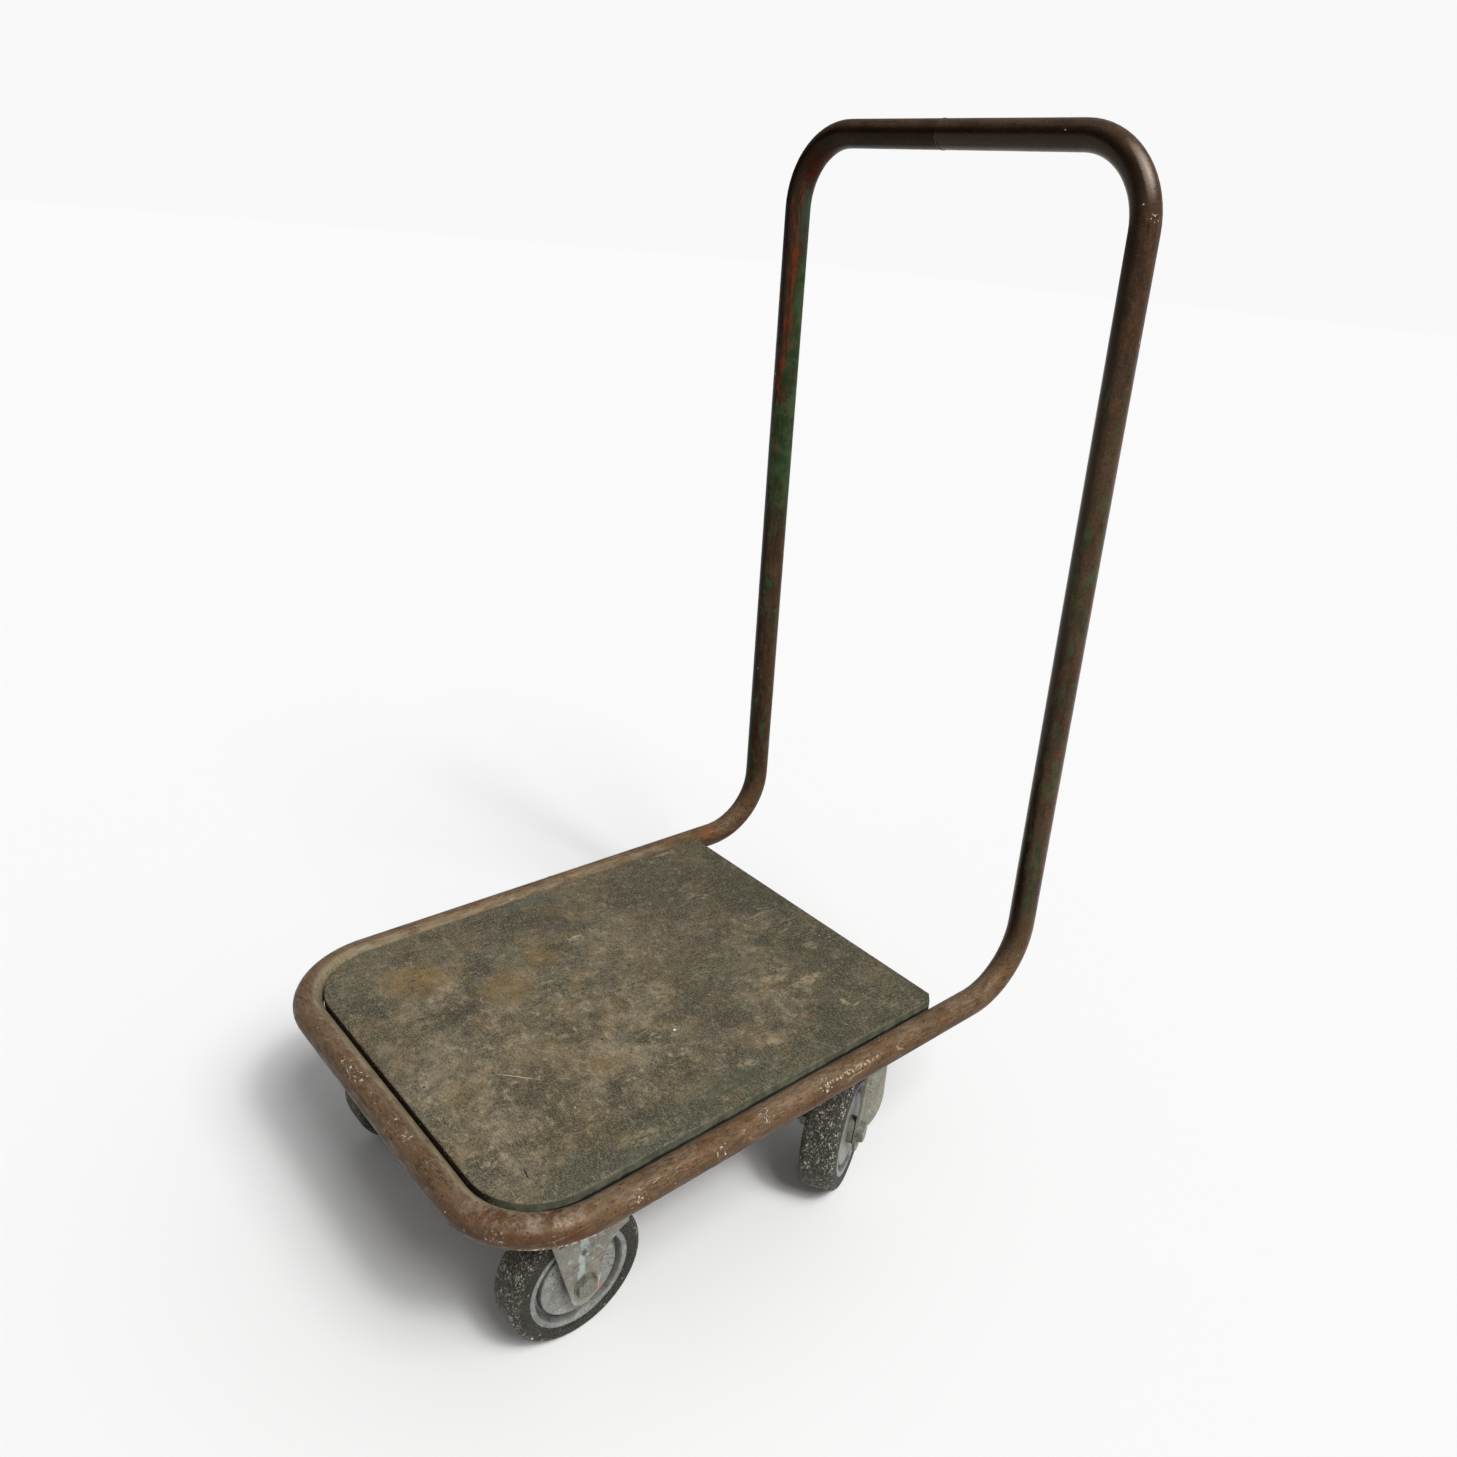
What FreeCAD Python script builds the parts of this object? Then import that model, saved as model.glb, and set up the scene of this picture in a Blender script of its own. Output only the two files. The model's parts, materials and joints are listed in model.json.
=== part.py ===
"""Platform trolley: bent-tube frame with a push handle, plywood deck, two fixed and two swivel casters.

Millimetres. The floor is Z 0, the handle end is +Y, and the trolley is centred on X 0, Y 0.
"""

import FreeCAD
import Part

import math
import os

# Frame tube
TUBE_OD = 26.9
TUBE_WALL = 2.6
HALF_WIDTH = 215.0
HALF_LENGTH = 297.0
DECK_TUBE_Z = 181.0
HANDLE_TOP_Z = 992.0
FRONT_BEND = 80.0
REAR_BEND = 71.0
TOP_BEND = 73.0
SIDE_SEAM_Y = 0.0
TOP_SEAM_X = -18.0
SEAM_GAP = 2.4
BEAD_PROUD = 0.45

# Deck
BOARD_THICK = 12.0
BOARD_BOTTOM_Z = 180.0
BOARD_LEFT = -200.0
BOARD_RIGHT = 197.2
BOARD_FRONT = -283.0
BOARD_REAR = 192.0
BOARD_CORNER = 64.0
BOARD_CLIP = 8.0
BOARD_EDGE_ROUND = 1.6

# Cross channels under the board
CHANNEL = 25.0
CHANNEL_WALL = 2.5
CHANNEL_BOTTOM_Z = 155.0
CHANNEL_HALF_LENGTH = 206.0
SCREW_X = 72.0

# Casters
CASTER_X = 150.0
FRONT_CASTER_Y = -203.0
REAR_CASTER_Y = 129.0
TRAIL = 39.0
RIGHT_HEADING = 28.3
LEFT_HEADING = 49.2
PLATE_X = 105.0
PLATE_Y = 85.0
PLATE_THICK = 3.0
PLATE_CORNER = 8.0
HOLE_X = 40.0
HOLE_Y = 30.0

# Wheel
WHEEL_R = 62.5
TREAD_HALF = 18.75
SHOULDER = 7.7
RIM_R = 46.8
RIM_FACE = 17.9
DISC_R = 36.0
DISC_FACE = 16.5
GROOVE_FACE = 11.5
SHEET = 2.0
HUB_OUT_R = 13.5
HUB_IN_R = 11.0
HUB_HALF = 22.0
SLEEVE_OUT_R = 8.0
SLEEVE_IN_R = 6.1
RUNNING_GAP = 0.05

# Forks
FORK_SHEET = 3.0
FORK_INNER = 23.0
FOOT_R = 13.5
FOOT_DROP = 8.5
CROWN_R = 38.0
CROWN_TOP_Z = 141.0
AXLE_R = 6.0
HEX_AF = 18.0
HEX_HEIGHT = 7.5
AXLE_HEAD = 4.6
WASHER_R = 10.9
WASHER_THICK = 1.5

X_AXIS = FreeCAD.Vector(1, 0, 0)
Y_AXIS = FreeCAD.Vector(0, 1, 0)
Z_AXIS = FreeCAD.Vector(0, 0, 1)
FORK_OUTER = FORK_INNER + FORK_SHEET
PLATE_TOP_Z = CHANNEL_BOTTOM_Z
PLATE_BOTTOM_Z = PLATE_TOP_Z - PLATE_THICK


def vec(x, y, z):
    return FreeCAD.Vector(x, y, z)


def save(name, shapes):
    """Write one node; a list is a group of separate identical pieces."""
    shape = Part.makeCompound(shapes) if isinstance(shapes, list) else shapes
    shape.exportStep(os.path.join("parts", name + ".step"))


def arc_between(start, end, centre, radius):
    """Circular edge from start to end, the short way round the centre."""
    middle = (start + end) * 0.5 - centre
    middle.normalize()
    return Part.Arc(start, centre + middle * radius, end).toShape()


def rounded_path(points, radii):
    """Straight runs through the points, with a bend of the given radius at each inner one."""
    edges = []
    here = points[0]
    for i in range(1, len(points) - 1):
        back = (points[i - 1] - points[i]).normalize()
        ahead = (points[i + 1] - points[i]).normalize()
        start = points[i] + back * radii[i - 1]
        end = points[i] + ahead * radii[i - 1]
        centre = start + ahead * radii[i - 1]
        edges.append(Part.makeLine(here, start))
        edges.append(arc_between(start, end, centre, radii[i - 1]))
        here = end
    edges.append(Part.makeLine(here, points[-1]))
    return Part.Wire(edges)


def sweep(path, radius):
    start = path.Edges[0].valueAt(path.Edges[0].FirstParameter)
    direction = path.Edges[0].tangentAt(path.Edges[0].FirstParameter)
    ring = Part.Wire(Part.makeCircle(radius, start, direction))
    return path.makePipeShell([ring], True, False)


def tube(points, radii):
    """Hollow round tube and the same run filled, for coping other pieces to it."""
    path = rounded_path(points, radii)
    filled = sweep(path, TUBE_OD / 2)
    bore = sweep(path, TUBE_OD / 2 - TUBE_WALL)
    return filled.cut(bore), filled


def ring(inner, outer, height, base, direction):
    return Part.makeCylinder(outer, height, base, direction).cut(
        Part.makeCylinder(inner, height, base, direction)
    )


def face_of(points):
    return Part.Face(Part.makePolygon(points + [points[0]]))


def rounded_box(width, length, height, corner, base_z):
    box = Part.makeBox(width, length, height, vec(-width / 2, -length / 2, base_z))
    uprights = [e for e in box.Edges if abs(e.tangentAt(e.FirstParameter).z) > 0.9]
    return box.makeFillet(corner, uprights)


def hexagon(across_flats, height):
    """Hex head or nut blank standing on Z 0, its top corners turned off."""
    radius = across_flats / math.sqrt(3)
    corners = [
        vec(radius * math.cos(math.radians(60 * i)), radius * math.sin(math.radians(60 * i)), 0)
        for i in range(6)
    ]
    blank = face_of(corners).extrude(vec(0, 0, height))
    fall = (radius - across_flats / 2) * 0.6
    turned = face_of(
        [
            vec(0, 0, 0),
            vec(radius + 0.01, 0, 0),
            vec(radius + 0.01, 0, height - fall),
            vec(across_flats / 2 * 0.96, 0, height),
            vec(0, 0, height),
        ]
    ).revolve(vec(0, 0, 0), Z_AXIS, 360)
    return blank.common(turned)


def nut(across_flats, height, bore):
    return hexagon(across_flats, height).cut(Part.makeCylinder(bore, height))


def bolt(across_flats, head, shank_r, length):
    """Hex bolt: head above Z 0, shank below it with a small end chamfer."""
    end = face_of(
        [
            vec(0, 0, 0.01),
            vec(shank_r, 0, 0.01),
            vec(shank_r, 0, -length + 1.0),
            vec(shank_r - 0.8, 0, -length),
            vec(0, 0, -length),
        ]
    ).revolve(vec(0, 0, 0), Z_AXIS, 360)
    return hexagon(across_flats, head).fuse(end).removeSplitter()


def along_x(shape, x, flip=False):
    """Turn a piece built along Z so that it points to +X (or -X) and starts at x."""
    out = shape.copy()
    out.rotate(vec(0, 0, 0), Y_AXIS, -90 if flip else 90)
    out.translate(vec(x, 0, 0))
    return out


def put(shape, x, y, z, heading=0.0):
    out = shape.copy()
    out.rotate(vec(0, 0, 0), Z_AXIS, heading)
    out.translate(vec(x, y, z))
    return out


# Frame: a front U and two side pieces that rise into the handle


def frame_tubes():
    half_gap = SEAM_GAP / 2
    front = tube(
        [
            vec(HALF_WIDTH, SIDE_SEAM_Y - half_gap, DECK_TUBE_Z),
            vec(HALF_WIDTH, -HALF_LENGTH, DECK_TUBE_Z),
            vec(-HALF_WIDTH, -HALF_LENGTH, DECK_TUBE_Z),
            vec(-HALF_WIDTH, SIDE_SEAM_Y - half_gap, DECK_TUBE_Z),
        ],
        [FRONT_BEND, FRONT_BEND],
    )
    sides = []
    for side in (1, -1):
        sides.append(
            tube(
                [
                    vec(side * HALF_WIDTH, SIDE_SEAM_Y + half_gap, DECK_TUBE_Z),
                    vec(side * HALF_WIDTH, HALF_LENGTH, DECK_TUBE_Z),
                    vec(side * HALF_WIDTH, HALF_LENGTH, HANDLE_TOP_Z),
                    vec(TOP_SEAM_X + side * half_gap, HALF_LENGTH, HANDLE_TOP_Z),
                ],
                [REAR_BEND, TOP_BEND],
            )
        )
    return front, sides[0], sides[1]


def weld_bead(centre, direction):
    """Butt weld filling one seam, standing a little proud of the tube."""
    inner = TUBE_OD / 2 - TUBE_WALL
    outer = TUBE_OD / 2
    half = SEAM_GAP / 2
    start = vec(inner, -half, 0)
    low = vec(outer, -half, 0)
    crown = vec(outer + BEAD_PROUD, 0, 0)
    high = vec(outer, half, 0)
    end = vec(inner, half, 0)
    outline = Part.Wire(
        [
            Part.makeLine(start, low),
            Part.Arc(low, crown, high).toShape(),
            Part.makeLine(high, end),
            Part.makeLine(end, start),
        ]
    )
    bead = Part.Face(outline).revolve(vec(0, 0, 0), Y_AXIS, 360)
    if abs(direction.x) > 0.5:
        bead.rotate(vec(0, 0, 0), Z_AXIS, 90)
    bead.translate(centre)
    return bead


# Deck board: round front corners, small clips at the back corners, softened top edge


def board_blank():
    left_c = BOARD_LEFT + BOARD_CORNER
    right_c = BOARD_RIGHT - BOARD_CORNER
    front_c = BOARD_FRONT + BOARD_CORNER
    diagonal = BOARD_CORNER * math.sqrt(0.5)
    z = BOARD_BOTTOM_Z
    edges = [
        Part.makeLine(vec(left_c, BOARD_FRONT, z), vec(right_c, BOARD_FRONT, z)),
        Part.Arc(
            vec(right_c, BOARD_FRONT, z),
            vec(right_c + diagonal, front_c - diagonal, z),
            vec(BOARD_RIGHT, front_c, z),
        ).toShape(),
        Part.makeLine(vec(BOARD_RIGHT, front_c, z), vec(BOARD_RIGHT, BOARD_REAR - BOARD_CLIP, z)),
        Part.makeLine(
            vec(BOARD_RIGHT, BOARD_REAR - BOARD_CLIP, z), vec(BOARD_RIGHT - BOARD_CLIP, BOARD_REAR, z)
        ),
        Part.makeLine(
            vec(BOARD_RIGHT - BOARD_CLIP, BOARD_REAR, z), vec(BOARD_LEFT + BOARD_CLIP, BOARD_REAR, z)
        ),
        Part.makeLine(
            vec(BOARD_LEFT + BOARD_CLIP, BOARD_REAR, z), vec(BOARD_LEFT, BOARD_REAR - BOARD_CLIP, z)
        ),
        Part.makeLine(vec(BOARD_LEFT, BOARD_REAR - BOARD_CLIP, z), vec(BOARD_LEFT, front_c, z)),
        Part.Arc(
            vec(BOARD_LEFT, front_c, z),
            vec(left_c - diagonal, front_c - diagonal, z),
            vec(left_c, BOARD_FRONT, z),
        ).toShape(),
    ]
    board = Part.Face(Part.Wire(edges)).extrude(vec(0, 0, BOARD_THICK))
    top = BOARD_BOTTOM_Z + BOARD_THICK
    rim = [e for e in board.Edges if abs(e.BoundBox.ZMin - top) < 0.01]
    return board.makeFillet(BOARD_EDGE_ROUND, rim)


def wood_screw():
    """Pan-head screw pointing up, its head below Z 0."""
    return face_of(
        [
            vec(0, 0, -2.4),
            vec(2.6, 0, -2.4),
            vec(4.0, 0, -1.2),
            vec(4.0, 0, 0),
            vec(2.0, 0, 0),
            vec(2.0, 0, 9.5),
            vec(0, 0, 12.0),
        ]
    ).revolve(vec(0, 0, 0), Z_AXIS, 360)


def channel(y, opening, copes, screws):
    """Cross channel with its web upright; opening is +1 or -1, the side it is open to."""
    half = CHANNEL / 2
    block = Part.makeBox(
        2 * CHANNEL_HALF_LENGTH, CHANNEL, CHANNEL, vec(-CHANNEL_HALF_LENGTH, y - half, CHANNEL_BOTTOM_Z)
    )
    shift = y - half + (CHANNEL_WALL if opening > 0 else -CHANNEL_WALL)
    hollow = Part.makeBox(
        2 * CHANNEL_HALF_LENGTH,
        CHANNEL,
        CHANNEL - 2 * CHANNEL_WALL,
        vec(-CHANNEL_HALF_LENGTH, shift, CHANNEL_BOTTOM_Z + CHANNEL_WALL),
    )
    bar = block.cut(hollow)
    corners = [
        e
        for e in bar.Edges
        if abs(e.tangentAt(e.FirstParameter).x) > 0.9
        and abs(e.BoundBox.YMin - (y - opening * half)) < 0.01
    ]
    bar = bar.makeFillet(CHANNEL_WALL, corners)
    for side in (1, -1):
        for x in (CASTER_X - HOLE_X, CASTER_X + HOLE_X):
            bar = bar.cut(Part.makeCylinder(4.5, 6, vec(side * x, y, CHANNEL_BOTTOM_Z - 1)))
    for x in screws:
        bar = bar.cut(Part.makeCylinder(2.3, 6, vec(x, y, CHANNEL_BOTTOM_Z + CHANNEL - 4)))
    for cope in copes:
        bar = bar.cut(cope)
    return max(bar.Solids, key=lambda solid: solid.Volume)


# Wheel, built about its own centre with the axle along X


def tyre():
    flat = TREAD_HALF - SHOULDER
    side_r = WHEEL_R - SHOULDER
    knee = SHOULDER * math.sqrt(0.5)
    outline = []
    corners = [
        vec(-RIM_FACE, RIM_R, 0),
        vec(RIM_FACE, RIM_R, 0),
        vec(TREAD_HALF, RIM_R + 3, 0),
        vec(TREAD_HALF, side_r, 0),
    ]
    for i in range(3):
        outline.append(Part.makeLine(corners[i], corners[i + 1]))
    outline.append(
        Part.Arc(corners[3], vec(flat + knee, side_r + knee, 0), vec(flat, WHEEL_R, 0)).toShape()
    )
    outline.append(Part.makeLine(vec(flat, WHEEL_R, 0), vec(-flat, WHEEL_R, 0)))
    outline.append(
        Part.Arc(
            vec(-flat, WHEEL_R, 0), vec(-flat - knee, side_r + knee, 0), vec(-TREAD_HALF, side_r, 0)
        ).toShape()
    )
    outline.append(Part.makeLine(vec(-TREAD_HALF, side_r, 0), vec(-TREAD_HALF, RIM_R + 3, 0)))
    outline.append(Part.makeLine(vec(-TREAD_HALF, RIM_R + 3, 0), corners[0]))
    return Part.Face(Part.Wire(outline)).revolve(vec(0, 0, 0), X_AXIS, 360)


def rim_half():
    """Pressed disc: raised centre, ring groove, flat outer ring and the seat turned under the tyre."""
    inner_seat = RIM_R - SHEET
    skin = [
        vec(DISC_FACE, HUB_OUT_R, 0),
        vec(DISC_FACE, DISC_R, 0),
        vec(GROOVE_FACE, DISC_R + 1.6, 0),
        vec(GROOVE_FACE, DISC_R + 3.4, 0),
        vec(RIM_FACE, RIM_R - 4.4, 0),
        vec(RIM_FACE, RIM_R, 0),
        vec(0.1, RIM_R, 0),
        vec(0.1, inner_seat, 0),
        vec(RIM_FACE - SHEET, inner_seat, 0),
        vec(RIM_FACE - SHEET, RIM_R - 3.4, 0),
        vec(GROOVE_FACE - SHEET, DISC_R + 4.4, 0),
        vec(GROOVE_FACE - SHEET, DISC_R + 0.4, 0),
        vec(DISC_FACE - SHEET, DISC_R - 1.2, 0),
        vec(DISC_FACE - SHEET, HUB_OUT_R, 0),
    ]
    half = face_of(skin).revolve(vec(0, 0, 0), X_AXIS, 360)
    visible = {DISC_R: 1.3, RIM_R - 4.4: 0.9}
    for radius, blend in visible.items():
        for edge in half.Edges:
            if hasattr(edge.Curve, "Radius") and abs(edge.Curve.Radius - radius) < 0.01:
                half = half.makeFillet(blend, [edge])
                break
    return half


def wheel_pieces():
    outer = rim_half()
    inner = outer.mirror(vec(0, 0, 0), X_AXIS)
    hub = ring(HUB_IN_R, HUB_OUT_R, 2 * HUB_HALF, vec(-HUB_HALF, 0, 0), X_AXIS)
    bush = ring(
        SLEEVE_OUT_R + RUNNING_GAP, HUB_IN_R, 2 * HUB_HALF, vec(-HUB_HALF, 0, 0), X_AXIS
    )
    return {"tyre": tyre(), "rim": [outer, inner], "hub": hub, "bush": bush}


# Axle hardware, about the wheel centre; side is +1 when the bolt head faces +X


def axle_sleeve():
    return ring(SLEEVE_IN_R, SLEEVE_OUT_R, 2 * FORK_INNER, vec(-FORK_INNER, 0, 0), X_AXIS)


def axle_bolt(side):
    reach = 2 * FORK_OUTER + 2 * WASHER_THICK + HEX_HEIGHT + 3.5
    piece = along_x(bolt(HEX_AF, AXLE_HEAD, AXLE_R, reach), 0, side < 0)
    piece.translate(vec(side * (FORK_OUTER + WASHER_THICK), 0, 0))
    return piece


def axle_nut(side):
    piece = along_x(nut(HEX_AF, HEX_HEIGHT, AXLE_R), 0, side > 0)
    piece.translate(vec(-side * (FORK_OUTER + WASHER_THICK), 0, 0))
    return piece


def axle_washers():
    return [
        ring(AXLE_R + 0.3, WASHER_R, WASHER_THICK, vec(x, 0, 0), X_AXIS)
        for x in (FORK_OUTER, -FORK_OUTER - WASHER_THICK)
    ]


# Caster plate, centred on its own origin in X and Y


def caster_plate(pin_hole):
    plate = rounded_box(PLATE_X, PLATE_Y, PLATE_THICK, PLATE_CORNER, PLATE_BOTTOM_Z)
    for x in (HOLE_X, -HOLE_X):
        for y in (HOLE_Y, -HOLE_Y):
            plate = plate.cut(Part.makeCylinder(4.5, 5, vec(x, y, PLATE_BOTTOM_Z - 1)))
    if pin_hole:
        plate = plate.cut(Part.makeCylinder(AXLE_R + 0.15, 5, vec(0, 0, PLATE_BOTTOM_Z - 1)))
    return plate


def plate_bolt():
    """Hex bolt from below the plate, head down."""
    piece = bolt(13.0, 5.3, 4.0, 14.0)
    piece.rotate(vec(0, 0, 0), X_AXIS, 180)
    piece.translate(vec(0, 0, PLATE_BOTTOM_Z))
    return piece


def plate_nut():
    return put(nut(13.0, 6.5, 4.0), 0, 0, CHANNEL_BOTTOM_Z + CHANNEL_WALL)


# Fixed fork: a strap folded down from under the plate, axle at Y 0


def fixed_fork():
    top = PLATE_BOTTOM_Z
    block = Part.makeBox(
        2 * FORK_OUTER, PLATE_Y, top - 30, vec(-FORK_OUTER, -PLATE_Y / 2, 30)
    )
    shoulders = [
        e
        for e in block.Edges
        if abs(e.tangentAt(e.FirstParameter).y) > 0.9 and abs(e.BoundBox.ZMin - top) < 0.01
    ]
    block = block.makeFillet(6.0, shoulders)
    inside = Part.makeBox(
        2 * FORK_INNER, PLATE_Y, top - FORK_SHEET - 30, vec(-FORK_INNER, -PLATE_Y / 2, 30)
    )
    roof = [
        e
        for e in inside.Edges
        if abs(e.tangentAt(e.FirstParameter).y) > 0.9
        and abs(e.BoundBox.ZMin - (top - FORK_SHEET)) < 0.01
    ]
    strap = block.cut(inside.makeFillet(3.0, roof))

    foot_z = WHEEL_R - FOOT_DROP
    x = -FORK_OUTER - 1
    half = PLATE_Y / 2
    lead = vec(x, half, WHEEL_R + 42)
    flare_end = vec(x, 16.8, WHEEL_R + 6)
    outline = [
        Part.makeLine(vec(x, -half, top), vec(x, half, top)),
        Part.makeLine(vec(x, half, top), lead),
        Part.Arc(lead, vec(x, 26.2, WHEEL_R + 32.6), flare_end).toShape(),
        Part.makeLine(flare_end, vec(x, FOOT_R, foot_z)),
        Part.Arc(
            vec(x, FOOT_R, foot_z), vec(x, 0, foot_z - FOOT_R), vec(x, -FOOT_R, foot_z)
        ).toShape(),
        Part.makeLine(vec(x, -FOOT_R, foot_z), vec(x, -30.5, WHEEL_R + 58)),
        Part.makeLine(vec(x, -30.5, WHEEL_R + 58), vec(x, -half, top - 6)),
        Part.makeLine(vec(x, -half, top - 6), vec(x, -half, top)),
    ]
    prism = Part.Face(Part.Wire(outline)).extrude(vec(2 * FORK_OUTER + 2, 0, 0))
    fork = strap.common(prism)
    fork = fork.cut(Part.makeCylinder(AXLE_R + 0.15, 80, vec(-40, 0, WHEEL_R), X_AXIS))
    return fork


# Swivel fork: drawn crown about the king pin, legs closing in to the axle at Y -TRAIL


def crown_plan(radius, half_foot, foot_y, far_y):
    """Closed plan outline: the crown circle running out into two parallel feet."""
    reach_y = -TRAIL + foot_y
    corner = vec(half_foot, reach_y, 0)
    distance = corner.Length
    bearing = math.atan2(corner.y, corner.x)
    swing = math.acos(radius / distance)
    touch_angle = bearing + swing
    touch = vec(radius * math.cos(touch_angle), radius * math.sin(touch_angle), 0)
    mirrored = vec(-touch.x, touch.y, 0)
    edges = [
        Part.makeLine(vec(-half_foot, far_y, 0), vec(half_foot, far_y, 0)),
        Part.makeLine(vec(half_foot, far_y, 0), corner),
        Part.makeLine(corner, touch),
        Part.Arc(touch, vec(0, radius, 0), mirrored).toShape(),
        Part.makeLine(mirrored, vec(-half_foot, reach_y, 0)),
        Part.makeLine(vec(-half_foot, reach_y, 0), vec(-half_foot, far_y, 0)),
    ]
    return Part.Face(Part.Wire(edges))


def swivel_fork():
    top = CROWN_TOP_Z
    far_y = -TRAIL - 22
    outer = crown_plan(CROWN_R, FORK_OUTER, 11.0, far_y).extrude(vec(0, 0, top - 30))
    outer.translate(vec(0, 0, 30))
    rim = [e for e in outer.Edges if abs(e.BoundBox.ZMin - top) < 0.01 and e.BoundBox.YMax > far_y + 1]
    outer = outer.makeFillet(4.5, rim)
    inner = crown_plan(CROWN_R - FORK_SHEET, FORK_INNER, 11.0, far_y - 1).extrude(
        vec(0, 0, top - FORK_SHEET - 29)
    )
    inner.translate(vec(0, 0, 29))
    shell = outer.cut(inner)

    x = -CROWN_R - 2
    axle_y = -TRAIL
    foot_z = WHEEL_R - FOOT_DROP
    sole = vec(x, axle_y, foot_z - FOOT_R)
    back = vec(x, axle_y + FOOT_R + 1.5, foot_z + 2)
    toe = vec(x, axle_y - FOOT_R + 1.0, foot_z + 3)
    outline = [
        Part.makeLine(vec(x, CROWN_R + 1, top), vec(x, -CROWN_R, top)),
        Part.makeLine(vec(x, -CROWN_R, top), vec(x, -CROWN_R, top - FORK_SHEET - 1)),
        Part.makeLine(
            vec(x, -CROWN_R, top - FORK_SHEET - 1), vec(x, axle_y + 15.5, top - FORK_SHEET - 3)
        ),
        Part.makeLine(vec(x, axle_y + 15.5, top - FORK_SHEET - 3), toe),
        Part.Arc(toe, sole, back).toShape(),
        Part.makeLine(back, vec(x, axle_y + 48, WHEEL_R + 20)),
        Part.Arc(
            vec(x, axle_y + 48, WHEEL_R + 20),
            vec(x, axle_y + 63, WHEEL_R + 36),
            vec(x, CROWN_R + 1, WHEEL_R + 58),
        ).toShape(),
        Part.makeLine(vec(x, CROWN_R + 1, WHEEL_R + 58), vec(x, CROWN_R + 1, top)),
    ]
    prism = Part.Face(Part.Wire(outline)).extrude(vec(2 * CROWN_R + 4, 0, 0))
    fork = shell.common(prism)
    fork = fork.cut(Part.makeCylinder(AXLE_R + 0.15, 90, vec(-45, axle_y, WHEEL_R), X_AXIS))
    fork = fork.cut(Part.makeCylinder(10.0, 20, vec(0, 0, top - 12)))
    return fork


# Swivel head: cup, ball ring, lower race, king pin


def upper_race():
    """Dished cup under the plate, its lip hanging outside the balls."""
    top = PLATE_BOTTOM_Z
    cup = [
        vec(AXLE_R + 0.15, 0, top),
        vec(33.0, 0, top),
        vec(34.5, 0, top - 1.5),
        vec(34.5, 0, top - 7.5),
        vec(32.5, 0, top - 7.5),
        vec(32.5, 0, top - 3.0),
        vec(31.5, 0, top - 2.0),
        vec(AXLE_R + 0.15, 0, top - 2.0),
    ]
    return face_of(cup).revolve(vec(0, 0, 0), Z_AXIS, 360)


def race_balls():
    radius = 3.5
    count = 22
    centre_z = PLATE_BOTTOM_Z - 2.0 - radius
    balls = []
    for i in range(count):
        angle = 2 * math.pi * i / count
        spot = vec(27.5 * math.cos(angle), 27.5 * math.sin(angle), centre_z)
        balls.append(Part.makeSphere(radius, spot))
    return balls


def lower_race():
    """Hardened ring on the crown that carries the balls and turns about the king pin."""
    bottom = CROWN_TOP_Z
    face_z = PLATE_BOTTOM_Z - 2.0 - 7.0 - 0.3
    profile = [
        vec(10.0, 0, bottom - FORK_SHEET),
        vec(10.0, 0, bottom),
        vec(31.0, 0, bottom),
        vec(31.0, 0, face_z),
        vec(AXLE_R + RUNNING_GAP, 0, face_z),
        vec(AXLE_R + RUNNING_GAP, 0, bottom - FORK_SHEET),
    ]
    return face_of(profile).revolve(vec(0, 0, 0), Z_AXIS, 360)


def king_pin():
    """Bolt down through plate, cup, race and crown."""
    length = PLATE_TOP_Z - 123.0
    return put(bolt(HEX_AF, HEX_HEIGHT, AXLE_R, length), 0, 0, PLATE_TOP_Z)


def king_nut():
    """Nut with its thrust washer, 0.3 below the crown."""
    top = CROWN_TOP_Z - FORK_SHEET - 0.3
    washer = ring(AXLE_R, 14.0, 2.0, vec(0, 0, top - 2.0), Z_AXIS)
    body = nut(HEX_AF, 9.0, AXLE_R)
    body.translate(vec(0, 0, top - 11.0))
    return [washer, body]


def at_axle(pieces, x, y, heading=0.0):
    """Move pieces built about the wheel centre to a caster whose axle is at x, y."""
    if isinstance(pieces, list):
        return [put(piece, x, y, WHEEL_R, heading) for piece in pieces]
    return put(pieces, x, y, WHEEL_R, heading)


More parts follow.
